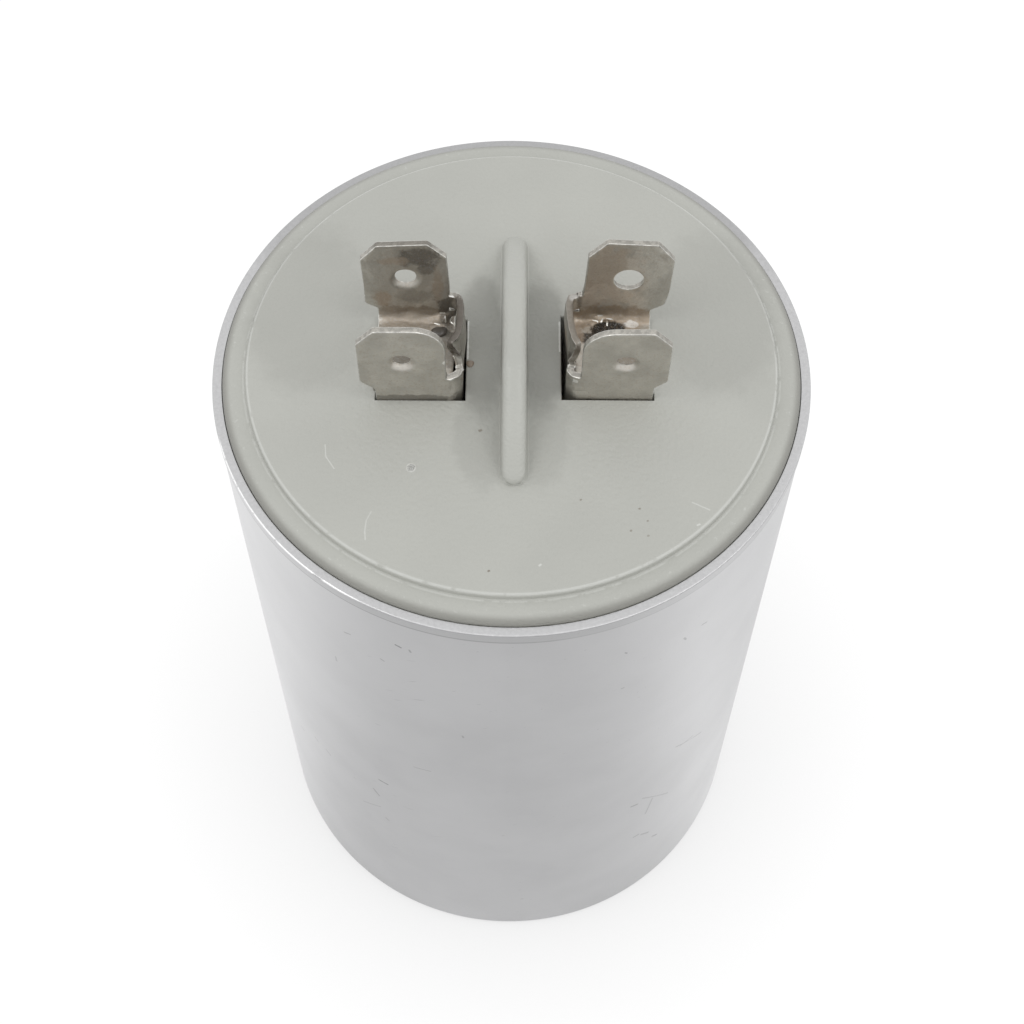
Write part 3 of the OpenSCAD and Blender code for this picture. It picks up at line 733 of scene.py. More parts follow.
def terminal_metal(name, seed, stains_and_painted_light):
    material, tree, shader = surface(name, metal=1.0, rough=0.42)
    cloud = effect(tree, BLOTCHES, Size_mm=1.6, Seed=seed)
    mist = effect(tree, BLOTCHES, Size_mm=0.5, Seed=seed + 3.0)
    fine = effect(tree, SCRATCHES, Turn=(0.0, 0.9, 0.0), Length_mm=1.4, Width_mm=0.04,
                  Amount=0.5, Seed=seed)
    dots = effect(tree, SPECKS, Spacing_mm=0.7, Radius_mm=0.06, Share=0.3, Seed=seed)
    mottle = grain_at(tree, object_place(tree), 1 / (MOTTLE_MM * MM), 2.0, 0.6)
    colour = blend(tree, cloud, toned(TIN, 0.88), toned(TIN, 1.08))
    colour = layer(tree, colour, mist, 0.3, HAZE)
    dull = times(tree, mist, 0.08)
    for place, reach, strength, tint in stains_and_painted_light:
        mask = stain_and_light_mask(tree, place, reach, strength)
        colour = blend(tree, mask, colour, tint)
        dull = plus(tree, dull, times(tree, mask, 0.12))
    colour = layer(tree, colour, ramp(tree, mottle, 0.5, 0.68), 0.3, toned(BROWN, 0.9))
    colour = layer(tree, colour, ramp(tree, mottle, 0.5, 0.32), 0.25, (0.5, 0.5, 0.49))
    colour = layer(tree, colour, fine, 0.25, (0.62, 0.6, 0.56))
    colour = layer(tree, colour, dots, 0.4, toned(TIN, 0.5))
    relief = plus(tree, cloud, plus(tree, times(tree, mist, 0.3), times(tree, mottle, 0.25)))
    dress(tree, shader, colour, calc(tree, "ADD", 0.42, dull, clamp=True), relief, 0.035)
    return material


def edge_metal(name, colour, rough, streak_mm, stains_and_painted_light):
    material, tree, shader = surface(name, metal=1.0, rough=rough)
    grit = grain_at(tree, object_place(tree), 1 / (streak_mm * MM), 3.0, 0.7)
    tone = blend(tree, ramp(tree, grit, 0.38, 0.62), toned(colour, 0.8), toned(colour, 1.15))
    for place, reach, strength, tint in stains_and_painted_light:
        tone = blend(tree, stain_and_light_mask(tree, place, reach, strength), tone, tint)
    dress(tree, shader, tone, plus(tree, rough - 0.08, times(tree, grit, 0.16)), grit, 0.02)
    return material


# place over the disc, reach, strength, tint
# the first three are dark marks on the edges; the last two are painted glints on the tops of the
# webs
WEB_TOP_STAINS_AND_GLINTS = [((-8.0, REAR_Y, 8.7), (3.2, 1.4, 0.6), 0.55, (0.15, 0.135, 0.115)),
            ((-4.2, 1.2, 2.6), (1.2, 2.9, 1.8), 0.85, (0.12, 0.105, 0.09)),
            ((4.4, 1.2, 2.6), (1.2, 3.0, 1.8), 0.7, (0.2, 0.175, 0.145)),
            ((-4.5, 3.3, 3.2), (0.25, 0.35, 0.5), 0.8, (0.95, 0.95, 0.93)),
            ((4.6, 3.4, 3.1), (0.4, 0.4, 0.5), 0.3, (0.85, 0.85, 0.83))]
SHEARED_EDGE = edge_metal("sheared_edge", (0.42, 0.405, 0.37), 0.5, 0.4, WEB_TOP_STAINS_AND_GLINTS)
BROKEN_EDGE = edge_metal("broken_edge", (0.66, 0.65, 0.61), 0.34, 0.5, WEB_TOP_STAINS_AND_GLINTS[1:3])

LEFT_METAL = terminal_metal("terminal_metal_left", 11.0, [
    ((-8.0, REAR_Y, 5.0), (3.6, 2.0, 4.6), 0.3, (0.32, 0.305, 0.27)),
    ((-6.9, REAR_Y, 7.3), (1.6, 2.0, 1.1), 0.75, SOOT),
    ((-6.4, REAR_Y, 6.3), (0.8, 2.0, 1.0), 0.6, SOOT),
    ((-8.6, REAR_Y, 7.0), (1.3, 2.0, 0.5), 0.6, BROWN),
    ((-5.5, REAR_Y, 4.0), (0.5, 2.0, 2.2), 0.6, BROWN),
    ((-9.7, REAR_Y, 2.7), (0.8, 2.0, 1.0), 0.8, BROWN),
    ((-7.2, REAR_Y, 2.9), (1.6, 2.0, 1.0), 0.32, SOOT),
    ((-7.6, 3.0, 0.9), (3.4, 1.4, 1.0), 0.75, (0.34, 0.285, 0.225)),
    ((-4.6, 3.0, 1.6), (1.0, 1.5, 1.6), 0.7, SOOT),
    ((-4.6, 0.6, 0.6), (0.9, 1.8, 0.9), 0.6, SOOT),
    ((-4.1, -2.2, 1.2), (0.7, 0.9, 1.2), 0.6, BROWN),
    ((-7.9, -0.6, SHEET_T), (1.8, 1.2, 0.5), 0.8, (0.17, 0.155, 0.13)),
    # painted shade along the foot of the front tab, where it goes into the slot
    ((-7.7, FRONT_Y, 0.3), (4.2, 0.6, 0.5), 0.75, (0.24, 0.225, 0.2)),
    # painted glints on the crumpled front fold
    ((-4.65, -3.75, 4.95), (0.3, 0.5, 0.32), 0.85, PAINTED_GLINT),
    ((-4.36, -3.75, 2.83), (0.3, 0.5, 0.32), 0.85, PAINTED_GLINT),
])
RIGHT_METAL = terminal_metal("terminal_metal_right", 23.0, [
    ((7.3, REAR_Y, 5.4), (2.8, 2.0, 3.6), 0.5, (0.56, 0.46, 0.36)),
    ((6.2, REAR_Y, 3.2), (2.0, 2.0, 1.6), 0.25, (0.38, 0.3, 0.23)),
    ((5.0, REAR_Y, 5.0), (0.35, 2.0, 4.0), 0.7, SOOT),
    ((7.4, REAR_Y, 3.0), (2.8, 2.0, 1.4), 0.5, (0.74, 0.67, 0.58)),
    ((7.6, 3.2, 0.9), (3.4, 1.6, 1.1), 0.75, (0.37, 0.29, 0.21)),
    # a painted reflection in the bend
    ((9.0, 2.7, 0.6), (0.6, 0.3, 0.3), 0.6, (0.9, 0.9, 0.88)),
    # painted shade in the floor's recess behind the front tab, two patches
    ((7.2, 2.3, SHEET_T), (1.5, 0.7, 0.5), 1.0, (0.035, 0.03, 0.025)),
    ((5.8, 1.5, SHEET_T), (1.0, 0.5, 0.4), 0.9, (0.05, 0.043, 0.036)),
    ((8.3, -0.6, SHEET_T), (1.8, 1.2, 0.5), 0.75, (0.2, 0.175, 0.14)),
    ((4.6, 1.8, 1.0), (0.8, 1.6, 1.6), 0.8, BROWN),
    ((9.7, REAR_Y, 6.5), (1.6, 2.0, 3.0), 0.45, (0.78, 0.76, 0.7)),
    ((4.4, -1.4, 1.0), (0.6, 1.0, 1.2), 0.8, (0.08, 0.07, 0.06)),
    # painted glints on the crumpled front fold
    ((4.59, -3.60, 2.23), (0.28, 0.6, 0.3), 0.85, PAINTED_GLINT),
    ((4.82, -3.20, 5.26), (0.28, 0.6, 0.3), 0.85, PAINTED_GLINT),
    ((4.71, -2.00, 5.38), (0.28, 0.6, 0.3), 0.85, PAINTED_GLINT),
])
print("terminal finishes", SHEARED_EDGE.name, BROKEN_EDGE.name, LEFT_METAL.name,
      RIGHT_METAL.name)


# %% [markdown]
# ## The can
# A cup drawn from one disc of aluminium. Its section is a closed loop: up the
# outside, over the cut rim, down the bore and back along the floor. Near the
# mouth a band stands a hair proud of the body.

# %% Turn the can
BODY_R = CAN_R - BAND_OUT
BORE_R = BODY_R - CAN_WALL
can_section = rounded([
    (0, 0, 0), (BODY_R, 0, 0.8),
    (BODY_R, BAND_Z, 0.03), (CAN_R, BAND_Z + 0.04, 0.03),
    (CAN_R, CAN_H, 0.1), (BORE_R, CAN_H, 0.05),
    (BORE_R, CAN_FLOOR, 0.3), (0, CAN_FLOOR, 0)], arc_steps=6)
can_shell = turned("can_shell", can_section, 256, CAN_METAL)
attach(can_shell, "root")
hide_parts("can")

# %% [markdown]
# ## The lid
# One moulding: a round plate with a step and a skirt, a boss under each
# terminal, and the barrier rib over its face. The round of it is turned like
# the can. The rib is skinned over sections along its length, because its
# height and width both change towards the ends.

# %% Turn the lid's round body
SKIRT_T = 1.5
lid_section = rounded([
    (0, DISC_Z, 0), (DISC_R, DISC_Z, 0.32), (DISC_R + 0.03, RING_Z, 0.14),
    (SEAT_R, RING_Z, 0.6), (SEAT_R, lid_low.z / MM, 0.1),
    (LID_R - SKIRT_T, lid_low.z / MM, 0.1),
    (LID_R - SKIRT_T, DISC_Z - PLATE_T, 0.3), (0, DISC_Z - PLATE_T, 0)], arc_steps=6)
lid = turned("moulded_lid", lid_section, 256, LID_PLASTIC)

# %% Skin the barrier rib
RIB_HALF, RIB_FLAT = 11.15, 3.5
RIB_HALF_T, RIB_HALF_ROOT, RIB_CORNER, RIB_SIDE = 0.875, 0.94, 0.84, 0.2
FALL_R, FALL_Y, FALL_Z = 24.0, -3.825, -18.255
CREASE_REACH, CREASE_DEPTH, END_ROUND = 0.35, 0.035, 0.3
CROWN_H, CROWN_STEPS, CROWN_POWER = 0.7, 12, 0.8


def rib_section_at(y):
    """Half thickness lost to the rounded end, and the height, at y."""
    to_end = RIB_HALF - abs(y)
    lost = 0.0
    if to_end < RIB_CORNER:
        lost = RIB_CORNER - math.sqrt(max(0.0, RIB_CORNER ** 2 - (RIB_CORNER - to_end) ** 2))
    height = RIB_H
    if abs(y) > RIB_FLAT:
        height = FALL_Z + math.sqrt(FALL_R ** 2 - (abs(y) - FALL_Y) ** 2)
    near = max(0.0, 1 - abs(abs(y) - RIB_FLAT) / CREASE_REACH)
    height -= CREASE_DEPTH * near * near
    if to_end < END_ROUND:
        height -= END_ROUND - math.sqrt(max(0.0, END_ROUND ** 2 - (END_ROUND - to_end) ** 2))
    return lost, height


def rib_section(y):
    """One closed section: a foot with a small fillet, a side and a round crown."""
    lost, height = rib_section_at(y)
    root, top = RIB_HALF_ROOT - lost, RIB_HALF_T - lost
    crown = min(CROWN_H, height * 0.6)
    fillet = [(root + 0.07, 0.07), (root, 0.24)]
    if height < 0.3:
        fillet = [(root + 0.07, 0.03), (root, 0.06)]
    half = [(root + 0.2, -0.5), (root + 0.2, -0.03)] + fillet
    for k in range(CROWN_STEPS):
        a = math.pi / 2 * k / CROWN_STEPS
        half.append((top * math.cos(a) ** CROWN_POWER,
                     height - crown + crown * math.sin(a) ** CROWN_POWER))
    section = half + [(0, height)] + [(-x, z) for x, z in half[::-1]]
    return [(x + RIB_SIDE, y, z + DISC_Z) for x, z in section]


ends = [RIB_HALF - d for d in (0.0, 0.015, 0.05, 0.11, 0.19, 0.3, 0.42, 0.56, 0.7, RIB_CORNER)]
between = [RIB_HALF - RIB_CORNER - 0.2 * k for k in range(1, 52)]
stations = [y for y in ends + between if y > 0.02]
stations = [-y for y in stations] + [0.0] + stations[::-1]
rib = piece_from("rib", skinned([rib_section(y) for y in stations]), LID_PLASTIC)
report(rib)


# %% [markdown]
# The terminals come up through L-shaped slots. The slots are cut out of the
# finished moulding by prisms, one for each terminal, because each terminal
# stands a little differently in its slot. Each cutter flares out at the very
# top, which leaves a small chamfer round the slot, as a mould does.

# %% Slots, bosses and the union
def prism(outline, levels):
    """A closed prism; each level is (height, outward growth) over one outline."""
    after = outline[1:] + outline[:1]
    area = sum(a[0] * b[1] - b[0] * a[1] for a, b in zip(outline, after))
    side = 1 if area > 0 else -1
    mitres = []
    for i, (here, follows) in enumerate(zip(outline, after)):
        back = (Vector(here) - Vector(outline[i - 1])).normalized()
        on = (Vector(follows) - Vector(here)).normalized()
        n1, n2 = Vector((back.y, -back.x)) * side, Vector((on.y, -on.x)) * side
        mitres.append((n1 + n2) / (1 + n1.dot(n2)))
    return skinned([[(*(Vector(here) + mitre * grow), z) for here, mitre in zip(outline, mitres)]
                    for z, grow in levels])


SLOT_GAP, SLOT_FLARE = 0.12, 0.13
HALF_D, WEB_HALF, FOLD_OUT = 3.9, 2.75, 1.15
ROOT_X = WEB_X + FOLD_OUT + 5.35
CORE_X = WEB_X + 1.4
BOSS_EDGE, BOSS_DEPTH = 0.9, 2.4
BOSS_Z = DISC_Z - PLATE_T - BOSS_DEPTH


def slot_plan(front, rear, side, bow, end):
    """The slot at +X: gaps in front, behind and beside, room for a bowed web, its far end."""
    inner = WEB_X + SHEET_T + SLOT_GAP + bow
    back = -HALF_D + SHEET_T + SLOT_GAP + max(0.0, -front)
    return [(WEB_X - side, -HALF_D - front), (end, -HALF_D - front), (end, back), (CORE_X, back),
            (CORE_X, -WEB_HALF + SLOT_GAP), (inner, -WEB_HALF + SLOT_GAP),
            (inner, WEB_HALF + rear), (WEB_X - side, WEB_HALF + rear)]


def mirrored(outline):
    return [(-x, y) for x, y in outline]


def join_by(piece, other, how):
    cut = piece.modifiers.new(how.lower(), "BOOLEAN")
    cut.operation, cut.object, cut.solver = how, other, "EXACT"
    finish(piece)
    bpy.data.objects.remove(other)


boss_in, boss_out, boss_y = WEB_X - 1.25, ROOT_X + BOSS_EDGE, HALF_D + BOSS_EDGE
boss_plan = [(boss_in, -boss_y), (boss_out, -boss_y), (boss_out, boss_y), (boss_in, boss_y)]
boss_levels = [(BOSS_Z, 0), (DISC_Z - PLATE_T + 0.5, 0)]
slot_levels = [(BOSS_Z - 1, 0), (DISC_Z - 0.07, 0), (DISC_Z + 0.06, SLOT_FLARE)]
right_slot = slot_plan(-0.18, 1.1, 0.05, 0.5, ROOT_X + 0.28)
left_slot = mirrored(slot_plan(-0.05, 0.7, 0.35, 0.0, ROOT_X - 0.2))
join_by(lid, rib, "UNION")
for plan in (boss_plan, mirrored(boss_plan)):
    join_by(lid, piece_from("boss", prism(plan, boss_levels)), "UNION")
for plan in (right_slot, left_slot):
    join_by(lid, piece_from("slot", prism(plan, slot_levels)), "DIFFERENCE")
outward(lid)
finish(lid, sharp=27)
lid.data.materials.clear()
lid.data.materials.append(LID_PLASTIC)
for face in lid.data.polygons:
    face.material_index = 0
report(lid)
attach(lid, "root")
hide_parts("lid")

# %% [markdown]
# A small nub of flash stands on the disc, left by the gate or an ejector pin.
# It is a low ring with a dimple, a separate little skin pressed into the lid.
# `dome` makes it from rings that shrink towards the top; the wobble keeps its
# outline from being a perfect round, and the beads of flux use it too. It was
# torn, so its plastic is the lid's with the grain laid over its own small box.

# %% The nub on the disc
def dome(place, reach, height, profile, steps, wobble, turn=0.0):
    """A low closed dome; the profile lists (share of the reach, share of the height)."""
    rings = []
    for share, up in profile:
        ring = []
        for k in range(steps):
            a = 2 * math.pi * k / steps
            px = reach[0] * share * wobble(a) * math.cos(a)
            py = reach[1] * share * wobble(a) * math.sin(a)
            ring.append((place[0] + px * math.cos(turn) - py * math.sin(turn),
                         place[1] + px * math.sin(turn) + py * math.cos(turn),
                         place[2] + height * up))
        rings.append(ring)
    return skinned(rings)


def box_of(piece):
    """The least and the greatest corner of a piece's mesh, in metres."""
    places = [vert.co for vert in piece.data.vertices]
    return [Vector([pick(place[i] for place in places) for i in range(3)]) for pick in (min, max)]


def nub_wobble(a):
    return 1 + 0.1 * math.sin(2 * a + 0.6) + 0.05 * math.sin(5 * a)


NUB_PROFILE = [(1.0, -0.06), (0.97, 0.25), (0.85, 0.75), (0.66, 1.0), (0.45, 0.85), (0.25, 0.45)]
nub = piece_from("lid_nub", dome((-7.19, -9.69, DISC_Z), (0.26, 0.299), 0.12, NUB_PROFILE, 20,
                                 nub_wobble))
nub.data.materials.append(lid_plastic("nub_plastic", *box_of(nub)))
finish(nub, sharp=60)
report(nub)
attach(nub, "root")

# %% [markdown]
# ## The terminals
# Each terminal is one strip of sheet: a front tab, a fold, a side web, a
# second fold, a rear tab, and a floor that turns in under the rear tab. It is
# made as the press makes it. A flat blank is drawn with its hole, cut into a
# fine mesh, and then every point is carried to its folded place by one rule.
# Solidify gives the sheet its thickness and Bevel breaks its edges.
#
# On the blank, u runs along the strip from the front tab's inner edge, and v
# is the height; below the rear tab, v runs on down the bend and the floor.

# %% The blank's outline
MID = SHEET_T / 2
FOLD_MID = FOLD_OUT - MID
U1 = FOLD_MID * math.pi / 2
U2 = U1 + 2 * WEB_HALF
U3 = U2 + U1
TAB_W, NECK, TIP_W, TIP_H = 6.3, 5.35, 1.3, 1.5
NECK_TOP, SHOULDER_R = 1.5, 2.3
BEND_R = 0.8
BEND_MID, BEND_Z, BEND_Y = BEND_R + MID, SHEET_T + BEND_R, HALF_D - SHEET_T - BEND_R
FLOOR_FRONT, FLOOR_BACK = -3.1, 0.55
HOLE_AT = (TAB_W / 2, TAB_H - 3.8)
ROOT_V, LEG_V, LEG_IN, LEG_OUT = -6.0, -9.0, -1.2, -4.2
LEG_HOLE, LEG_HOLE_R = (-2.7, -7.5), 0.62


def corners(points, arc_steps=4):
    """Round the corners of a closed outline; each point is (u, v, radius)."""
    out = []
    for i, corner in enumerate(points):
        if corner[2] == 0:
            out.append(corner[:2])
        else:
            out += arc_at(corner, points[i - 1], points[(i + 1) % len(points)], arc_steps)[1]
    return out


def blade(u, v, tilt):
    """A point of the rear tab's blade, tilted outwards on its neck."""
    a, dv = math.radians(tilt), v - NECK_TOP
    return (u * math.cos(a) + dv * math.sin(a),
            NECK_TOP - u * math.sin(a) + dv * math.cos(a))


def bend_end(lean):
    """Where the bend under the rear tab ends on the blank."""
    return BEND_Z - BEND_MID * (math.pi / 2 - math.radians(lean))


def blank_outline(lean, tilt, neck):
    floor_v = bend_end(lean) - (BEND_Y - FLOOR_FRONT)
    front = [(LEG_OUT, ROOT_V, 0), (-neck, ROOT_V, 0), (-neck, NECK_TOP, 0.35),
             (-TAB_W, 2.4, 0.55), (-TAB_W, TAB_H - TIP_H, 0.3), (-TAB_W + TIP_W, TAB_H, 0.3),
             (-SHOULDER_R, TAB_H, 0)]
    arc = [(-SHOULDER_R + SHOULDER_R * math.sin(a),
            TAB_H - SHOULDER_R + SHOULDER_R * math.cos(a), 0)
           for a in [math.pi / 2 * k / 8 for k in range(1, 9)]]
    web = [(0, 2.8, 0.15), (U1, 2.6, 0.1), (U1 + 0.5, 1.4, 0.2), (U1 + 1.1, 1.4, 0.2),
           (U1 + 2.1, 2.98, 0.35), (U3, 3.0, 0.25)]
    rear = []
    for u, v, radius in ((0, TAB_H - TIP_H, 0.25), (TIP_W, TAB_H, 0.25),
                         (TAB_W - TIP_W, TAB_H, 0.25), (TAB_W, TAB_H - TIP_H, 0.3),
                         (TAB_W, 2.4, 0.5)):
        bu, bv = blade(u, v, tilt)
        rear.append((U3 + bu, bv, radius))
    floor = [(U3 + NECK, NECK_TOP, 0.3), (U3 + NECK, floor_v, 0.1),
             (U3 - FLOOR_BACK, floor_v, 0.1), (U3 - FLOOR_BACK, BEND_Z, 0), (U3, BEND_Z, 0),
             (U3, BEND_Z + 0.3, 0), (U2, BEND_Z + 0.3, 0)]
    root = [(U2, ROOT_V, 0), (LEG_IN, ROOT_V, 0), (LEG_IN, LEG_V, 0.2), (LEG_OUT, LEG_V, 0.2)]
    return corners(front + arc + web + rear + floor + root)


def ring_of(centre, radius, count):
    turns = [2 * math.pi * k / count for k in range(count)]
    return [(centre[0] + radius * math.cos(a), centre[1] + radius * math.sin(a)) for a in turns]


print("strip, unfolded", round(U3 + 2 * TAB_W, 2), "mm long")

# %% [markdown]
# The blank is filled with triangles, which can go round a hole, and then cut
# along straight stations. The triangles' own diagonals are dissolved after
# that, so small square cells are left, close together where the sheet bends.
# Round each hole stands a collar of finer rings, for the dished rim.

# %% Cut the blank into cells
CELL, BEND_CELL = 0.36, 0.17
COLLAR_R, COLLAR_STEPS, COLLAR_POINTS = 1.75, (1.5, 1.34, 1.22, 1.12, 1.04, 0.97, 0.9), 32


def cuts_between(bands):
    """Even stations over each band (low, high, greatest step)."""
    cuts = set()
    for low, high, step in bands:
        count = max(1, round((high - low) / step))
        cuts.update(low + (high - low) * k / count for k in range(count + 1))
    return sorted(cuts)


def hole_places(form):
    """Centre, and (radius, depth of the dish, its side), of the two tab holes on the blank."""
    bu, bv = blade(*HOLE_AT, form["tilt"])
    return [((-HOLE_AT[0], HOLE_AT[1]), form["front_hole"]), ((U3 + bu, bv), form["rear_hole"])]


def is_diagonal(edge, collar):
    off = edge.verts[0].co - edge.verts[1].co
    return (len(edge.link_faces) == 2 and not any(f[collar] for f in edge.link_faces)
            and abs(off.x) > 1e-3 and abs(off.y) > 1e-3)


def blank_mesh(form):
    bm = bmesh.new()
    collar = bm.faces.layers.int.new("collar")
    holes = hole_places(form)
    loops = [blank_outline(form["lean"], form["tilt"], form["neck"]),
             ring_of(LEG_HOLE, LEG_HOLE_R, 16)]
    loops += [ring_of(centre, COLLAR_R, COLLAR_POINTS) for centre, _ in holes]
    rings = []
    for loop in loops:
        rings.append([bm.verts.new((u, v, 0)) for u, v in loop])
        for k, vert in enumerate(rings[-1]):
            bm.edges.new((vert, rings[-1][(k + 1) % len(loop)]))
    bmesh.ops.triangle_fill(bm, edges=bm.edges, use_beauty=True)
    for outer, (centre, (hole_r, _, _)) in zip(rings[2:], holes):
        for radius in [r for r in COLLAR_STEPS if r > hole_r + 0.04] + [hole_r]:
            inner = [bm.verts.new((u, v, 0)) for u, v in ring_of(centre, radius, COLLAR_POINTS)]
            for k in range(COLLAR_POINTS):
                n = (k + 1) % COLLAR_POINTS
                bm.faces.new((outer[k], outer[n], inner[n], inner[k]))[collar] = 1
            outer = inner

    arc_end = bend_end(form["lean"])
    cuts_u = cuts_between([(-TAB_W, 0, CELL), (0, U1, BEND_CELL), (U1, U2, CELL),
                           (U2, U3, BEND_CELL), (U3, U3 + TAB_W + 0.4, CELL)])
    cuts_v = cuts_between([(LEG_V, -7, 0.5), (arc_end - 5.7, arc_end, CELL),
                           (arc_end, BEND_Z, BEND_CELL), (BEND_Z, TAB_H + 0.1, CELL)])
    for axis, cuts in ((0, cuts_u), (1, cuts_v)):
        for at in cuts:
            co, no = Vector((0, 0, 0)), Vector((0, 0, 0))
            co[axis], no[axis] = at, 1
            faces = [f for f in bm.faces if not f[collar]]
            edges = list({e for f in faces for e in f.edges})
            verts = list({v for e in edges for v in e.verts})
            bmesh.ops.bisect_plane(bm, geom=verts + edges + faces, plane_co=co, plane_no=no,
                                   dist=0.0005)
    bmesh.ops.dissolve_edges(bm, edges=[e for e in bm.edges if is_diagonal(e, collar)],
                             use_verts=False)
    spare = [v for v in bm.verts if len(v.link_edges) == 2 and not v.is_boundary]
    bmesh.ops.dissolve_verts(bm, verts=spare)
    bmesh.ops.remove_doubles(bm, verts=bm.verts, dist=0.02)
    return bm


# %% [markdown]
# The folding rule says where a point of the blank ends up, for the terminal
# at +X. The dents are added after it, along the sheet's own normal: a dished
# rim round each hole, soft crumples where the pliers gripped, and a slight
# bow. Each terminal has its own list of them.

# %% The folding rule
def eased(value, low, high):
    t = min(1.0, max(0.0, (value - low) / (high - low)))
    return t * t * (3 - 2 * t)


def folded(u, v, form):
    """The place of a point of the blank after folding, in the terminal's own frame."""
    lean = math.radians(form["lean"])
    x_tab = WEB_X + FOLD_OUT
    if v < BEND_Z + 1e-6 and u > U3 - 0.6:
        along, arc = BEND_Z - v, BEND_MID * (math.pi / 2 - lean)
        if along <= arc:
            a = -lean - along / BEND_MID
            y, z = BEND_Y + BEND_MID * math.cos(a), BEND_Z + BEND_MID * math.sin(a)
        else:
            y, z = BEND_Y - (along - arc), MID
        return Vector((x_tab + u - U3, y, z))
    if u <= 0:
        x, y = x_tab - u, -HALF_D + MID
    elif u <= U1:
        a = u / FOLD_MID
        x, y = x_tab - FOLD_MID * math.sin(a), -WEB_HALF - FOLD_MID * math.cos(a)
    elif u <= U2:
        x, y = WEB_X + MID, u - U1 - WEB_HALF
    elif u <= U3:
        a = (u - U2) / FOLD_MID
        x, y = x_tab - FOLD_MID * math.cos(a), WEB_HALF + FOLD_MID * math.sin(a)
    else:
        x, y = x_tab + u - U3, HALF_D - MID
    # the rear tab leans back over its bend; the web's rear edge goes with it
    over_bend = eased(v, BEND_Z - 0.01, BEND_Z + (0.0 if u > U2 else 0.3))
    turn = lean * eased(u, U2 - 2.5, U2) * over_bend
    dy, dz = y - BEND_Y, v - BEND_Z
    y = BEND_Y + dy * math.cos(turn) + dz * math.sin(turn)
    z = BEND_Z - dy * math.sin(turn) + dz * math.cos(turn)
    if u <= 0:
        z -= form["drop"][0] * eased(v, 2.0, 5.0)
    if u > U3:
        z -= form["drop"][1] * eased(v, 6.2, TAB_H)
        swing = eased(v, BEND_Z, BEND_Z + 3.0)
        x += form["shift"] * swing
        y += (u - U3) * math.tan(math.radians(form["yaw"])) * swing
    return Vector((x, y, z))


# %% Dents on the folded sheet
BOW_DEPTH, BOW_SIZE, SILL_H = 0.05, 3.5, 0.85


def dented(u, v, form):
    """The folded place, pushed along the sheet's normal by its dents."""
    here = folded(u, v, form)
    tiny = 0.01
    along = folded(u + tiny, v, form) - here
    upward = folded(u, v + tiny, form) - here
    normal = along.cross(upward)
    if normal.length < 1e-9:
        return here
    normal.normalize()
    push = 0.0
    for (hu, hv), (hole_r, depth, way) in hole_places(form):
        far = math.hypot(u - hu, v - hv)
        push += way * depth * (1 - eased(far, hole_r - 0.12, hole_r + 0.3))
    for du, dv, ru, rv, depth in form["dents"]:
        push += depth * math.exp(-((u - du) / ru) ** 2 - ((v - dv) / rv) ** 2)
    for cu, cv, reach, depth, grain in form["crumples"]:
        share = math.exp(-((u - cu) ** 2 + (v - cv) ** 2) / reach ** 2)
        if share > 0.02:
            push += depth * share * noise.noise(here / grain + Vector((form["seed"], 0, 0)))
    push += BOW_DEPTH * noise.noise(here / BOW_SIZE + Vector((0, form["seed"], 0)))
    here += normal * push
    if u <= 0 and form["sill"] and v < SILL_H:
        here.y += form["sill"] * (1 - eased(v, -0.1, SILL_H))
    # the strip stands a little off its drawn place, from the slot upwards
    risen = eased(v, -5.5, -0.5)
    low_down = max(0.0, 1 - max(v, 0.0) / TAB_H)
    here.y += form["foot"] * low_down * (1 - eased(u, -0.2, U1 + 1.5)) * risen
    here.x += form["out"] * risen
    return here


# %% Blank to terminal
EDGE_BREAK = 0.06


def terminal(name, side, form, material):
    bm = blank_mesh(form)
    for vert in bm.verts:
        place = dented(vert.co.x, vert.co.y, form)
        vert.co = (side * place.x, place.y, place.z + DISC_Z)
    bmesh.ops.recalc_face_normals(bm, faces=bm.faces)
    piece = piece_from(name, bm, material)
    for edge_finish in (SHEARED_EDGE, BROKEN_EDGE):
        piece.data.materials.append(edge_finish)
    wall = piece.modifiers.new("sheet", "SOLIDIFY")
    wall.thickness, wall.offset, wall.use_even_offset = SHEET_T * MM, 0, True
    wall.material_offset_rim = 1
    edge = piece.modifiers.new("broken edge", "BEVEL")
    edge.width, edge.segments, edge.limit_method = EDGE_BREAK * MM, 2, "ANGLE"
    edge.angle_limit, edge.use_clamp_overlap, edge.material = math.radians(42), False, 2
    finish(piece)
    outward(piece)
    finish(piece, sharp=38)
    report(piece)
    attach(piece, "root")
    return piece


# %% [markdown]
# What differs between the two terminals stands in two lists of values, in
# millimetres and degrees. lean, tilt, shift and yaw place the rear tab, drop
# lowers the tips of the two tabs, neck is how far the front tab's neck goes,
# sill, foot and out move the strip where it leaves the slot, and a hole is
# (radius, depth of the dish, its side). A dent is (u, v, reach along u and v,
# depth), and a crumple is (u, v, reach, depth, size of its waves). Sculpting
# would do it by eye; a list can be read, measured and changed.

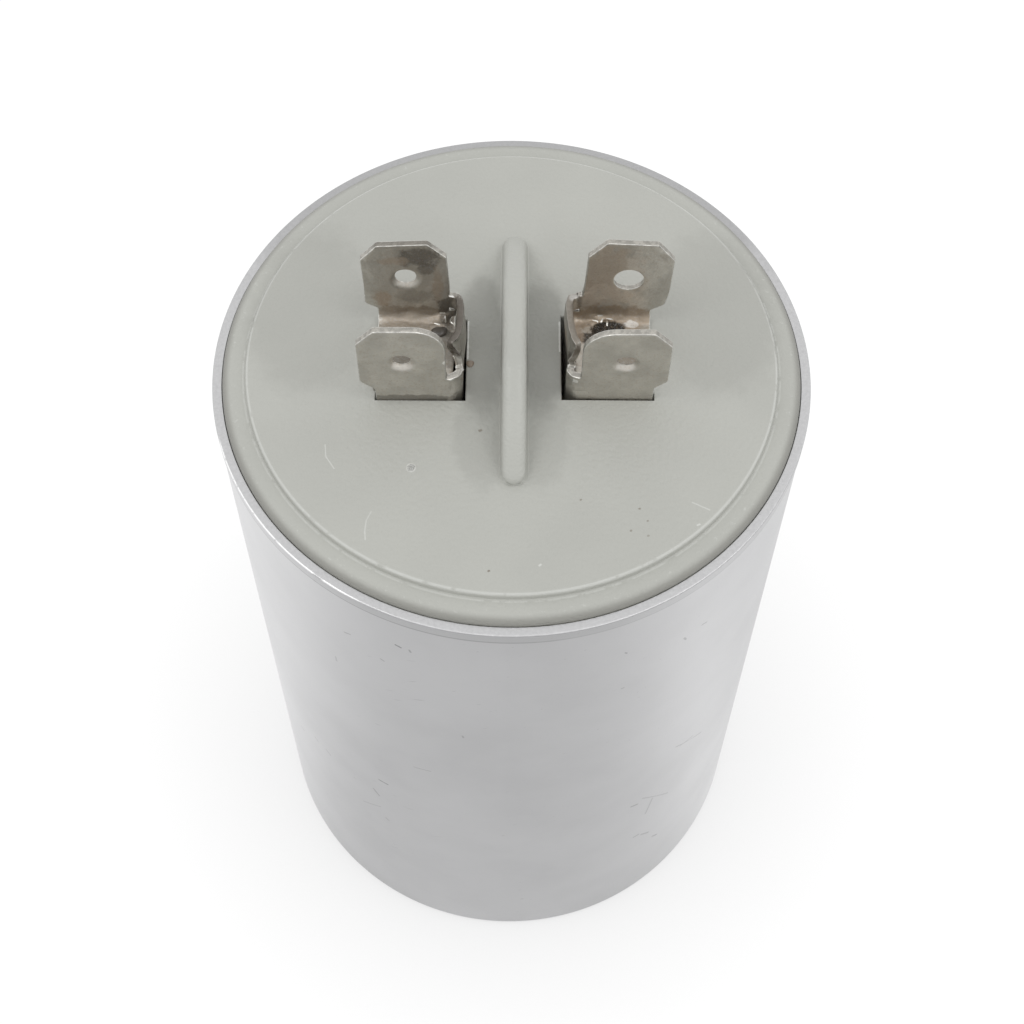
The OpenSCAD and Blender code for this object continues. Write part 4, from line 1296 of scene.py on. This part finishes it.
# %% Fold both terminals
LEFT_FORM = {
    "lean": 2.5, "tilt": 2.0, "shift": -0.14, "yaw": -1.0, "seed": 3.0, "sill": 0.1,
    "drop": (0.34, 0.05), "neck": NECK - 0.14, "foot": -0.03, "out": -0.16,
    "front_hole": (0.82, 0.4, 1), "rear_hole": (0.95, 0.36, -1),
    "dents": [(U3 + 0.7, 0.35, 0.55, 0.45, 0.2), (U3 - 0.2, -0.8, 0.5, 0.5, -0.15),
              (U1 * 0.5, 2.0, 0.5, 0.5, 0.12), (-5.6, 3.4, 1.2, 1.5, 0.06),
              (U1 + 2.0, 2.8, 1.0, 1.1, 0.4), (U1 + 1.8, 3.0, 0.5, 0.6, 0.4),
              (U1 + 4.2, 0.8, 1.5, 1.0, -0.2)],
    "crumples": [(U3 + 0.5, 0.2, 1.2, 0.3, 0.42), (U1 * 0.6, 1.8, 1.1, 0.25, 0.4),
                 (U2 + 0.6, 2.4, 1.0, 0.2, 0.5), (U3 + 3.5, 0.4, 1.8, 0.12, 0.7),
                 (U1 + 1.8, 2.0, 1.3, 0.3, 0.45)],
}
RIGHT_FORM = {
    "lean": 3.6, "tilt": 2.2, "shift": 0.25, "yaw": -0.5, "seed": 8.0, "sill": 0.0,
    "drop": (0.42, -0.06), "neck": NECK, "foot": 0.25, "out": 0.16,
    "front_hole": (0.82, 0.36, 1), "rear_hole": (1.12, 0.04, -1),
    "dents": [(U3 + 2.2, -0.1, 0.9, 0.35, 0.16), (U3 + 0.3, 0.3, 0.6, 0.5, -0.12),
              (U1 * 0.5, 2.1, 0.5, 0.4, 0.12), (U1 + 2.0, 2.8, 1.0, 1.1, 0.2),
              (U1 + 1.7, 3.0, 0.5, 0.7, 0.5), (U1 + 2.75, 1.5, 2.7, 4.5, 0.3),
              (U1 + 4.4, 1.6, 1.6, 1.2, -0.15)],
    "crumples": [(U3 + 2.0, 0.1, 1.6, 0.25, 0.5), (U1 * 0.5, 1.7, 1.0, 0.25, 0.4),
                 (U3 + 4.3, 0.2, 1.2, 0.15, 0.5), (U1 + 1.8, 2.0, 1.3, 0.3, 0.45),
                 (U2 + 0.8, 2.6, 0.8, 0.2, 0.4)],
}
terminal_left = terminal("folded_terminal_left", -1, LEFT_FORM, LEFT_METAL)
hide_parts("terminal_left")
terminal_right = terminal("folded_terminal_right", 1, RIGHT_FORM, RIGHT_METAL)
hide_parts("terminal_right")

# %% [markdown]
# Burnt flux from soldering has dried in small smooth beads: one dark bead in
# the left terminal's corner, and one pale brown spot beside the rib. Each is
# a low dome like the nub, longer than it is wide and turned to its own side.

# %% Beads of flux
BEAD_PROFILE = [(0.97, -0.25), (1.0, 0.0), (0.93, 0.4), (0.76, 0.74), (0.5, 0.93), (0.22, 1.0)]


def flux(name, colour, rough):
    material, tree, shader = surface(name, rough=rough, Coat_Weight=0.3, Coat_Roughness=0.15)
    cloud = effect(tree, BLOTCHES, Size_mm=0.4, Seed=4.0)
    tone = blend(tree, cloud, toned(colour, 0.8), toned(colour, 1.15))
    dress(tree, shader, tone, height=cloud, depth_mm=0.01)
    return material


for name, place, reach, height, turn, colour in (
        ("flux_bead", (-5.45, 1.95, DISC_Z + 0.55), (0.62, 0.46), 0.2, 0.15, (0.085, 0.075, 0.064)),
        ("flux_spot", (-3.11, -0.58, DISC_Z), (0.3, 0.33), 0.1, 0.0, (0.27, 0.215, 0.165))):
    shape = dome(place, reach, height, BEAD_PROFILE, 24,
                 lambda a: 1 + 0.06 * math.sin(3 * a + turn), turn)
    bead = piece_from(name, shape, flux(name + "_finish", colour, 0.35))
    finish(bead, sharp=60)
    report(bead)
    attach(bead, "root")

# %% [markdown]
# ## Inside the can
# The CAD solids of the element, the leads and the solder are already the
# right shape, so they stay, and each gets its own finish: the wound film
# shows fine rings on its ends, the zinc is sprayed and granular, the resin is
# dark and glossy, and the copper and its insulation have a faint drawn grain.

# %% Finishes for the inner nodes
def grained(name, colour, metal, rough, size_mm, depth_mm, contrast=0.12, stretch=(1, 1, 1)):
    material, tree, shader = surface(name, metal=metal, rough=rough)
    pulled = vector(tree, "MULTIPLY", object_place(tree), stretch)
    grain = grain_at(tree, pulled, 1 / (size_mm * MM), 3.0)
    cloud = effect(tree, BLOTCHES, Size_mm=size_mm * 9, Seed=size_mm)
    tone = blend(tree, grain, toned(colour, 1 - contrast), toned(colour, 1 + contrast))
    tone = layer(tree, tone, cloud, 0.2, toned(colour, 0.8))
    dress(tree, shader, tone, plus(tree, rough - 0.05, times(tree, grain, 0.1)), grain, depth_mm)
    return material


def wound_film():
    material, tree, shader = surface("wound_film", metal=0.6, rough=0.35)
    rings = put(tree, "ShaderNodeTexWave", {"Vector": object_place(tree), "Scale": 900.0,
                                            "Distortion": 0.6, "Detail": 1.0},
                wave_type="RINGS", rings_direction="Z").outputs["Fac"]
    tone = blend(tree, rings, (0.45, 0.46, 0.5), (0.62, 0.63, 0.66))
    cloud = effect(tree, BLOTCHES, Size_mm=8.0, Seed=7.0)
    tone = layer(tree, tone, cloud, 0.3, (0.5, 0.5, 0.52))
    dress(tree, shader, tone, height=rings, depth_mm=0.02)
    return material


# node: finish, colour, metal, rough, grain size, depth, contrast, stretch
ZINC, COPPER, SOLDER = (0.4, 0.41, 0.43), (0.8, 0.42, 0.24), (0.58, 0.58, 0.57)
GRAINED = {
    "base_insulator": ("insulator_board", (0.62, 0.56, 0.43), 0.0, 0.65, 0.5, 0.03),
    "winding_core": ("core_plastic", (0.72, 0.7, 0.62), 0.0, 0.5, 0.6, 0.01, 0.05),
    "end_spray_bottom": ("sprayed_zinc_bottom", ZINC, 0.85, 0.6, 0.3, 0.08, 0.25),
    "end_spray_top": ("sprayed_zinc_top", ZINC, 0.85, 0.6, 0.34, 0.08, 0.25),
    "element_wrap": ("wrap_film", (0.62, 0.42, 0.12), 0.0, 0.3, 1.2, 0.01, 0.1, (1, 1, 0.15)),
    "potting_resin": ("potting_resin", (0.045, 0.04, 0.036), 0.0, 0.28, 1.6, 0.02, 0.2),
    "lead_left_wire": ("copper_left", COPPER, 1.0, 0.3, 0.12, 0.01, 0.1, (1, 1, 0.1)),
    "lead_right_wire": ("copper_right", COPPER, 1.0, 0.3, 0.13, 0.01, 0.1, (1, 1, 0.1)),
    "lead_left_insulation": ("insulation_blue", (0.03, 0.09, 0.36), 0.0, 0.42, 0.35, 0.01, 0.1),
    "lead_right_insulation": ("insulation_red", (0.42, 0.03, 0.02), 0.0, 0.42, 0.35, 0.01, 0.1),
}
for joint in ("solder_top", "solder_bottom", "solder_left", "solder_right"):
    GRAINED[joint] = (joint + "_metal", SOLDER, 1.0, 0.32, 0.4, 0.02, 0.12)
inner_finishes = {node: grained(*values) for node, values in GRAINED.items()}
inner_finishes["film_winding"] = wound_film()
for node, material in inner_finishes.items():
    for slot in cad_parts[node].material_slots:
        slot.material = material
print("finished inner nodes", len(inner_finishes))

# %% [markdown]
# ## Floor, light and camera
# A wide pale floor catches the shadow. Two soft suns stand high to the left
# and right, in front of the can, and the world fills in. Camera and glossy
# rays see the world as plain white and the floor as lifted to white; all other
# rays meet them at their own level, so the object is lit plainly and the
# shadow stays. Two more rules shape the floor. To the camera it has a shade
# close to the object's foot. To glossy rays only, it is darker in front and to
# the right, as the room is round a white table: the metal and the lid show
# that as soft grey sides, and nothing of it is seen on the floor itself.

# %% Stage, suns and world
FLOOR_HALF, FLOOR_TONE, FLOOR_SEEN, FLOOR_LIFT = 3.0, 0.8, 0.2, 0.84
FOOT_SHADE, FOOT_REACH = 0.34, 0.022
# each dark side of the room: its shade, its axis, where it begins and is whole
ROOM_SHADES = [(0.46, (0.1, 0.995, 0.0), -0.05, -0.92), (0.18, (0.85, 0.53, 0.0), 0.45, 0.9)]
SUN_STRENGTH, SUN_ANGLE, WORLD_FILL = 0.34, 0.45, 0.83
WHITE = (1, 1, 1, 1)


def white_to_eye(tree):
    """1 for camera, glossy and transmission rays, 0 for all others; and the rays."""
    rays = put(tree, "ShaderNodeLightPath").outputs
    seen = calc(tree, "MAXIMUM", rays["Is Camera Ray"], rays["Is Glossy Ray"])
    return calc(tree, "MAXIMUM", seen, rays["Is Transmission Ray"]), rays


def floor_finish():
    tone = (FLOOR_TONE,) * 3
    material, tree, shader = surface("pale_floor", tone, rough=1.0, Specular_IOR_Level=0.0,
                                     Emission_Color=WHITE)
    seen, rays = white_to_eye(tree)
    tree.links.new(blend(tree, seen, tone, (FLOOR_SEEN,) * 3), shader.inputs["Base Color"])
    ground = vector(tree, "NORMALIZE", object_place(tree))
    room = 1.0
    for shade, axis, begins, whole in ROOM_SHADES:
        side = ramp(tree, vector(tree, "DOT_PRODUCT", ground, axis), begins, whole)
        dark = times(tree, times(tree, side, shade), rays["Is Glossy Ray"])
        room = times(tree, room, minus(tree, 1.0, dark))
    open_sky = put(tree, "ShaderNodeAmbientOcclusion", {"Distance": FOOT_REACH}, samples=8)
    near = times(tree, minus(tree, 1.0, open_sky.outputs["AO"]), rays["Is Camera Ray"])
    foot = minus(tree, 1.0, times(tree, near, FOOT_SHADE))
    lifted = times(tree, times(tree, seen, foot), room)
    tree.links.new(times(tree, lifted, FLOOR_LIFT), shader.inputs["Emission Strength"])
    return material


bm = bmesh.new()
bmesh.ops.create_grid(bm, x_segments=2, y_segments=2, size=FLOOR_HALF / MM)
floor = piece_from("floor", bm, floor_finish())

world = bpy.data.worlds.new("soft_white")
scene.world = world
world.use_nodes = True
sky_tree = world.node_tree
sky = sky_tree.nodes["Background"].inputs
level = plus(sky_tree, WORLD_FILL, times(sky_tree, white_to_eye(sky_tree)[0], 1 - WORLD_FILL))
sky_tree.links.new(level, sky["Strength"])
sky["Color"].default_value = WHITE


def sun(name, toward):
    lamp = bpy.data.lights.new(name, "SUN")
    lamp.energy, lamp.angle = SUN_STRENGTH, SUN_ANGLE
    holder = bpy.data.objects.new(name, lamp)
    scene.collection.objects.link(holder)
    holder.rotation_euler = Vector(toward).to_track_quat("Z", "Y").to_euler()


sun("sun_left", (-0.5, -0.15, 1))
sun("sun_right", (0.5, -0.15, 1))
print("floor", FLOOR_HALF * 2, "m wide, suns 2, world", world.name)

# %% [markdown]
# The camera looks down at the can from in front, near enough for the rim to
# look clearly wider than the foot. Its turns are in radians; the focal length
# and the shift are shares of the frame's width.

# %% Camera
FOCAL, SENSOR, SHIFT_Y = 1.7519921875, 36, -0.08984375
PITCH, YAW, ROLL = 1.0003, 0.0004, 0.0072
CAMERA_AT = (0, -0.07649, 0.1767)


def spun(a, b, angle):
    """Two axes turned towards each other in their own plane."""
    return a * math.cos(angle) + b * math.sin(angle), b * math.cos(angle) - a * math.sin(angle)


lens = bpy.data.cameras.new("camera")
lens.sensor_width, lens.lens, lens.shift_y = SENSOR, FOCAL * SENSOR, SHIFT_Y
camera = bpy.data.objects.new("camera", lens)
scene.collection.objects.link(camera)
ahead, right = Vector((0, math.cos(PITCH), -math.sin(PITCH))), Vector((1, 0, 0))
up = right.cross(ahead)
ahead, right = spun(ahead, right, YAW)
right, up = spun(right, up, ROLL)
turn = Matrix((right, up, -ahead)).transposed().to_4x4()
camera.matrix_world = Matrix.Translation(CAMERA_AT) @ turn
scene.camera = camera
scene.view_settings.view_transform = "Standard"
print("lens", round(lens.lens, 2), "mm")
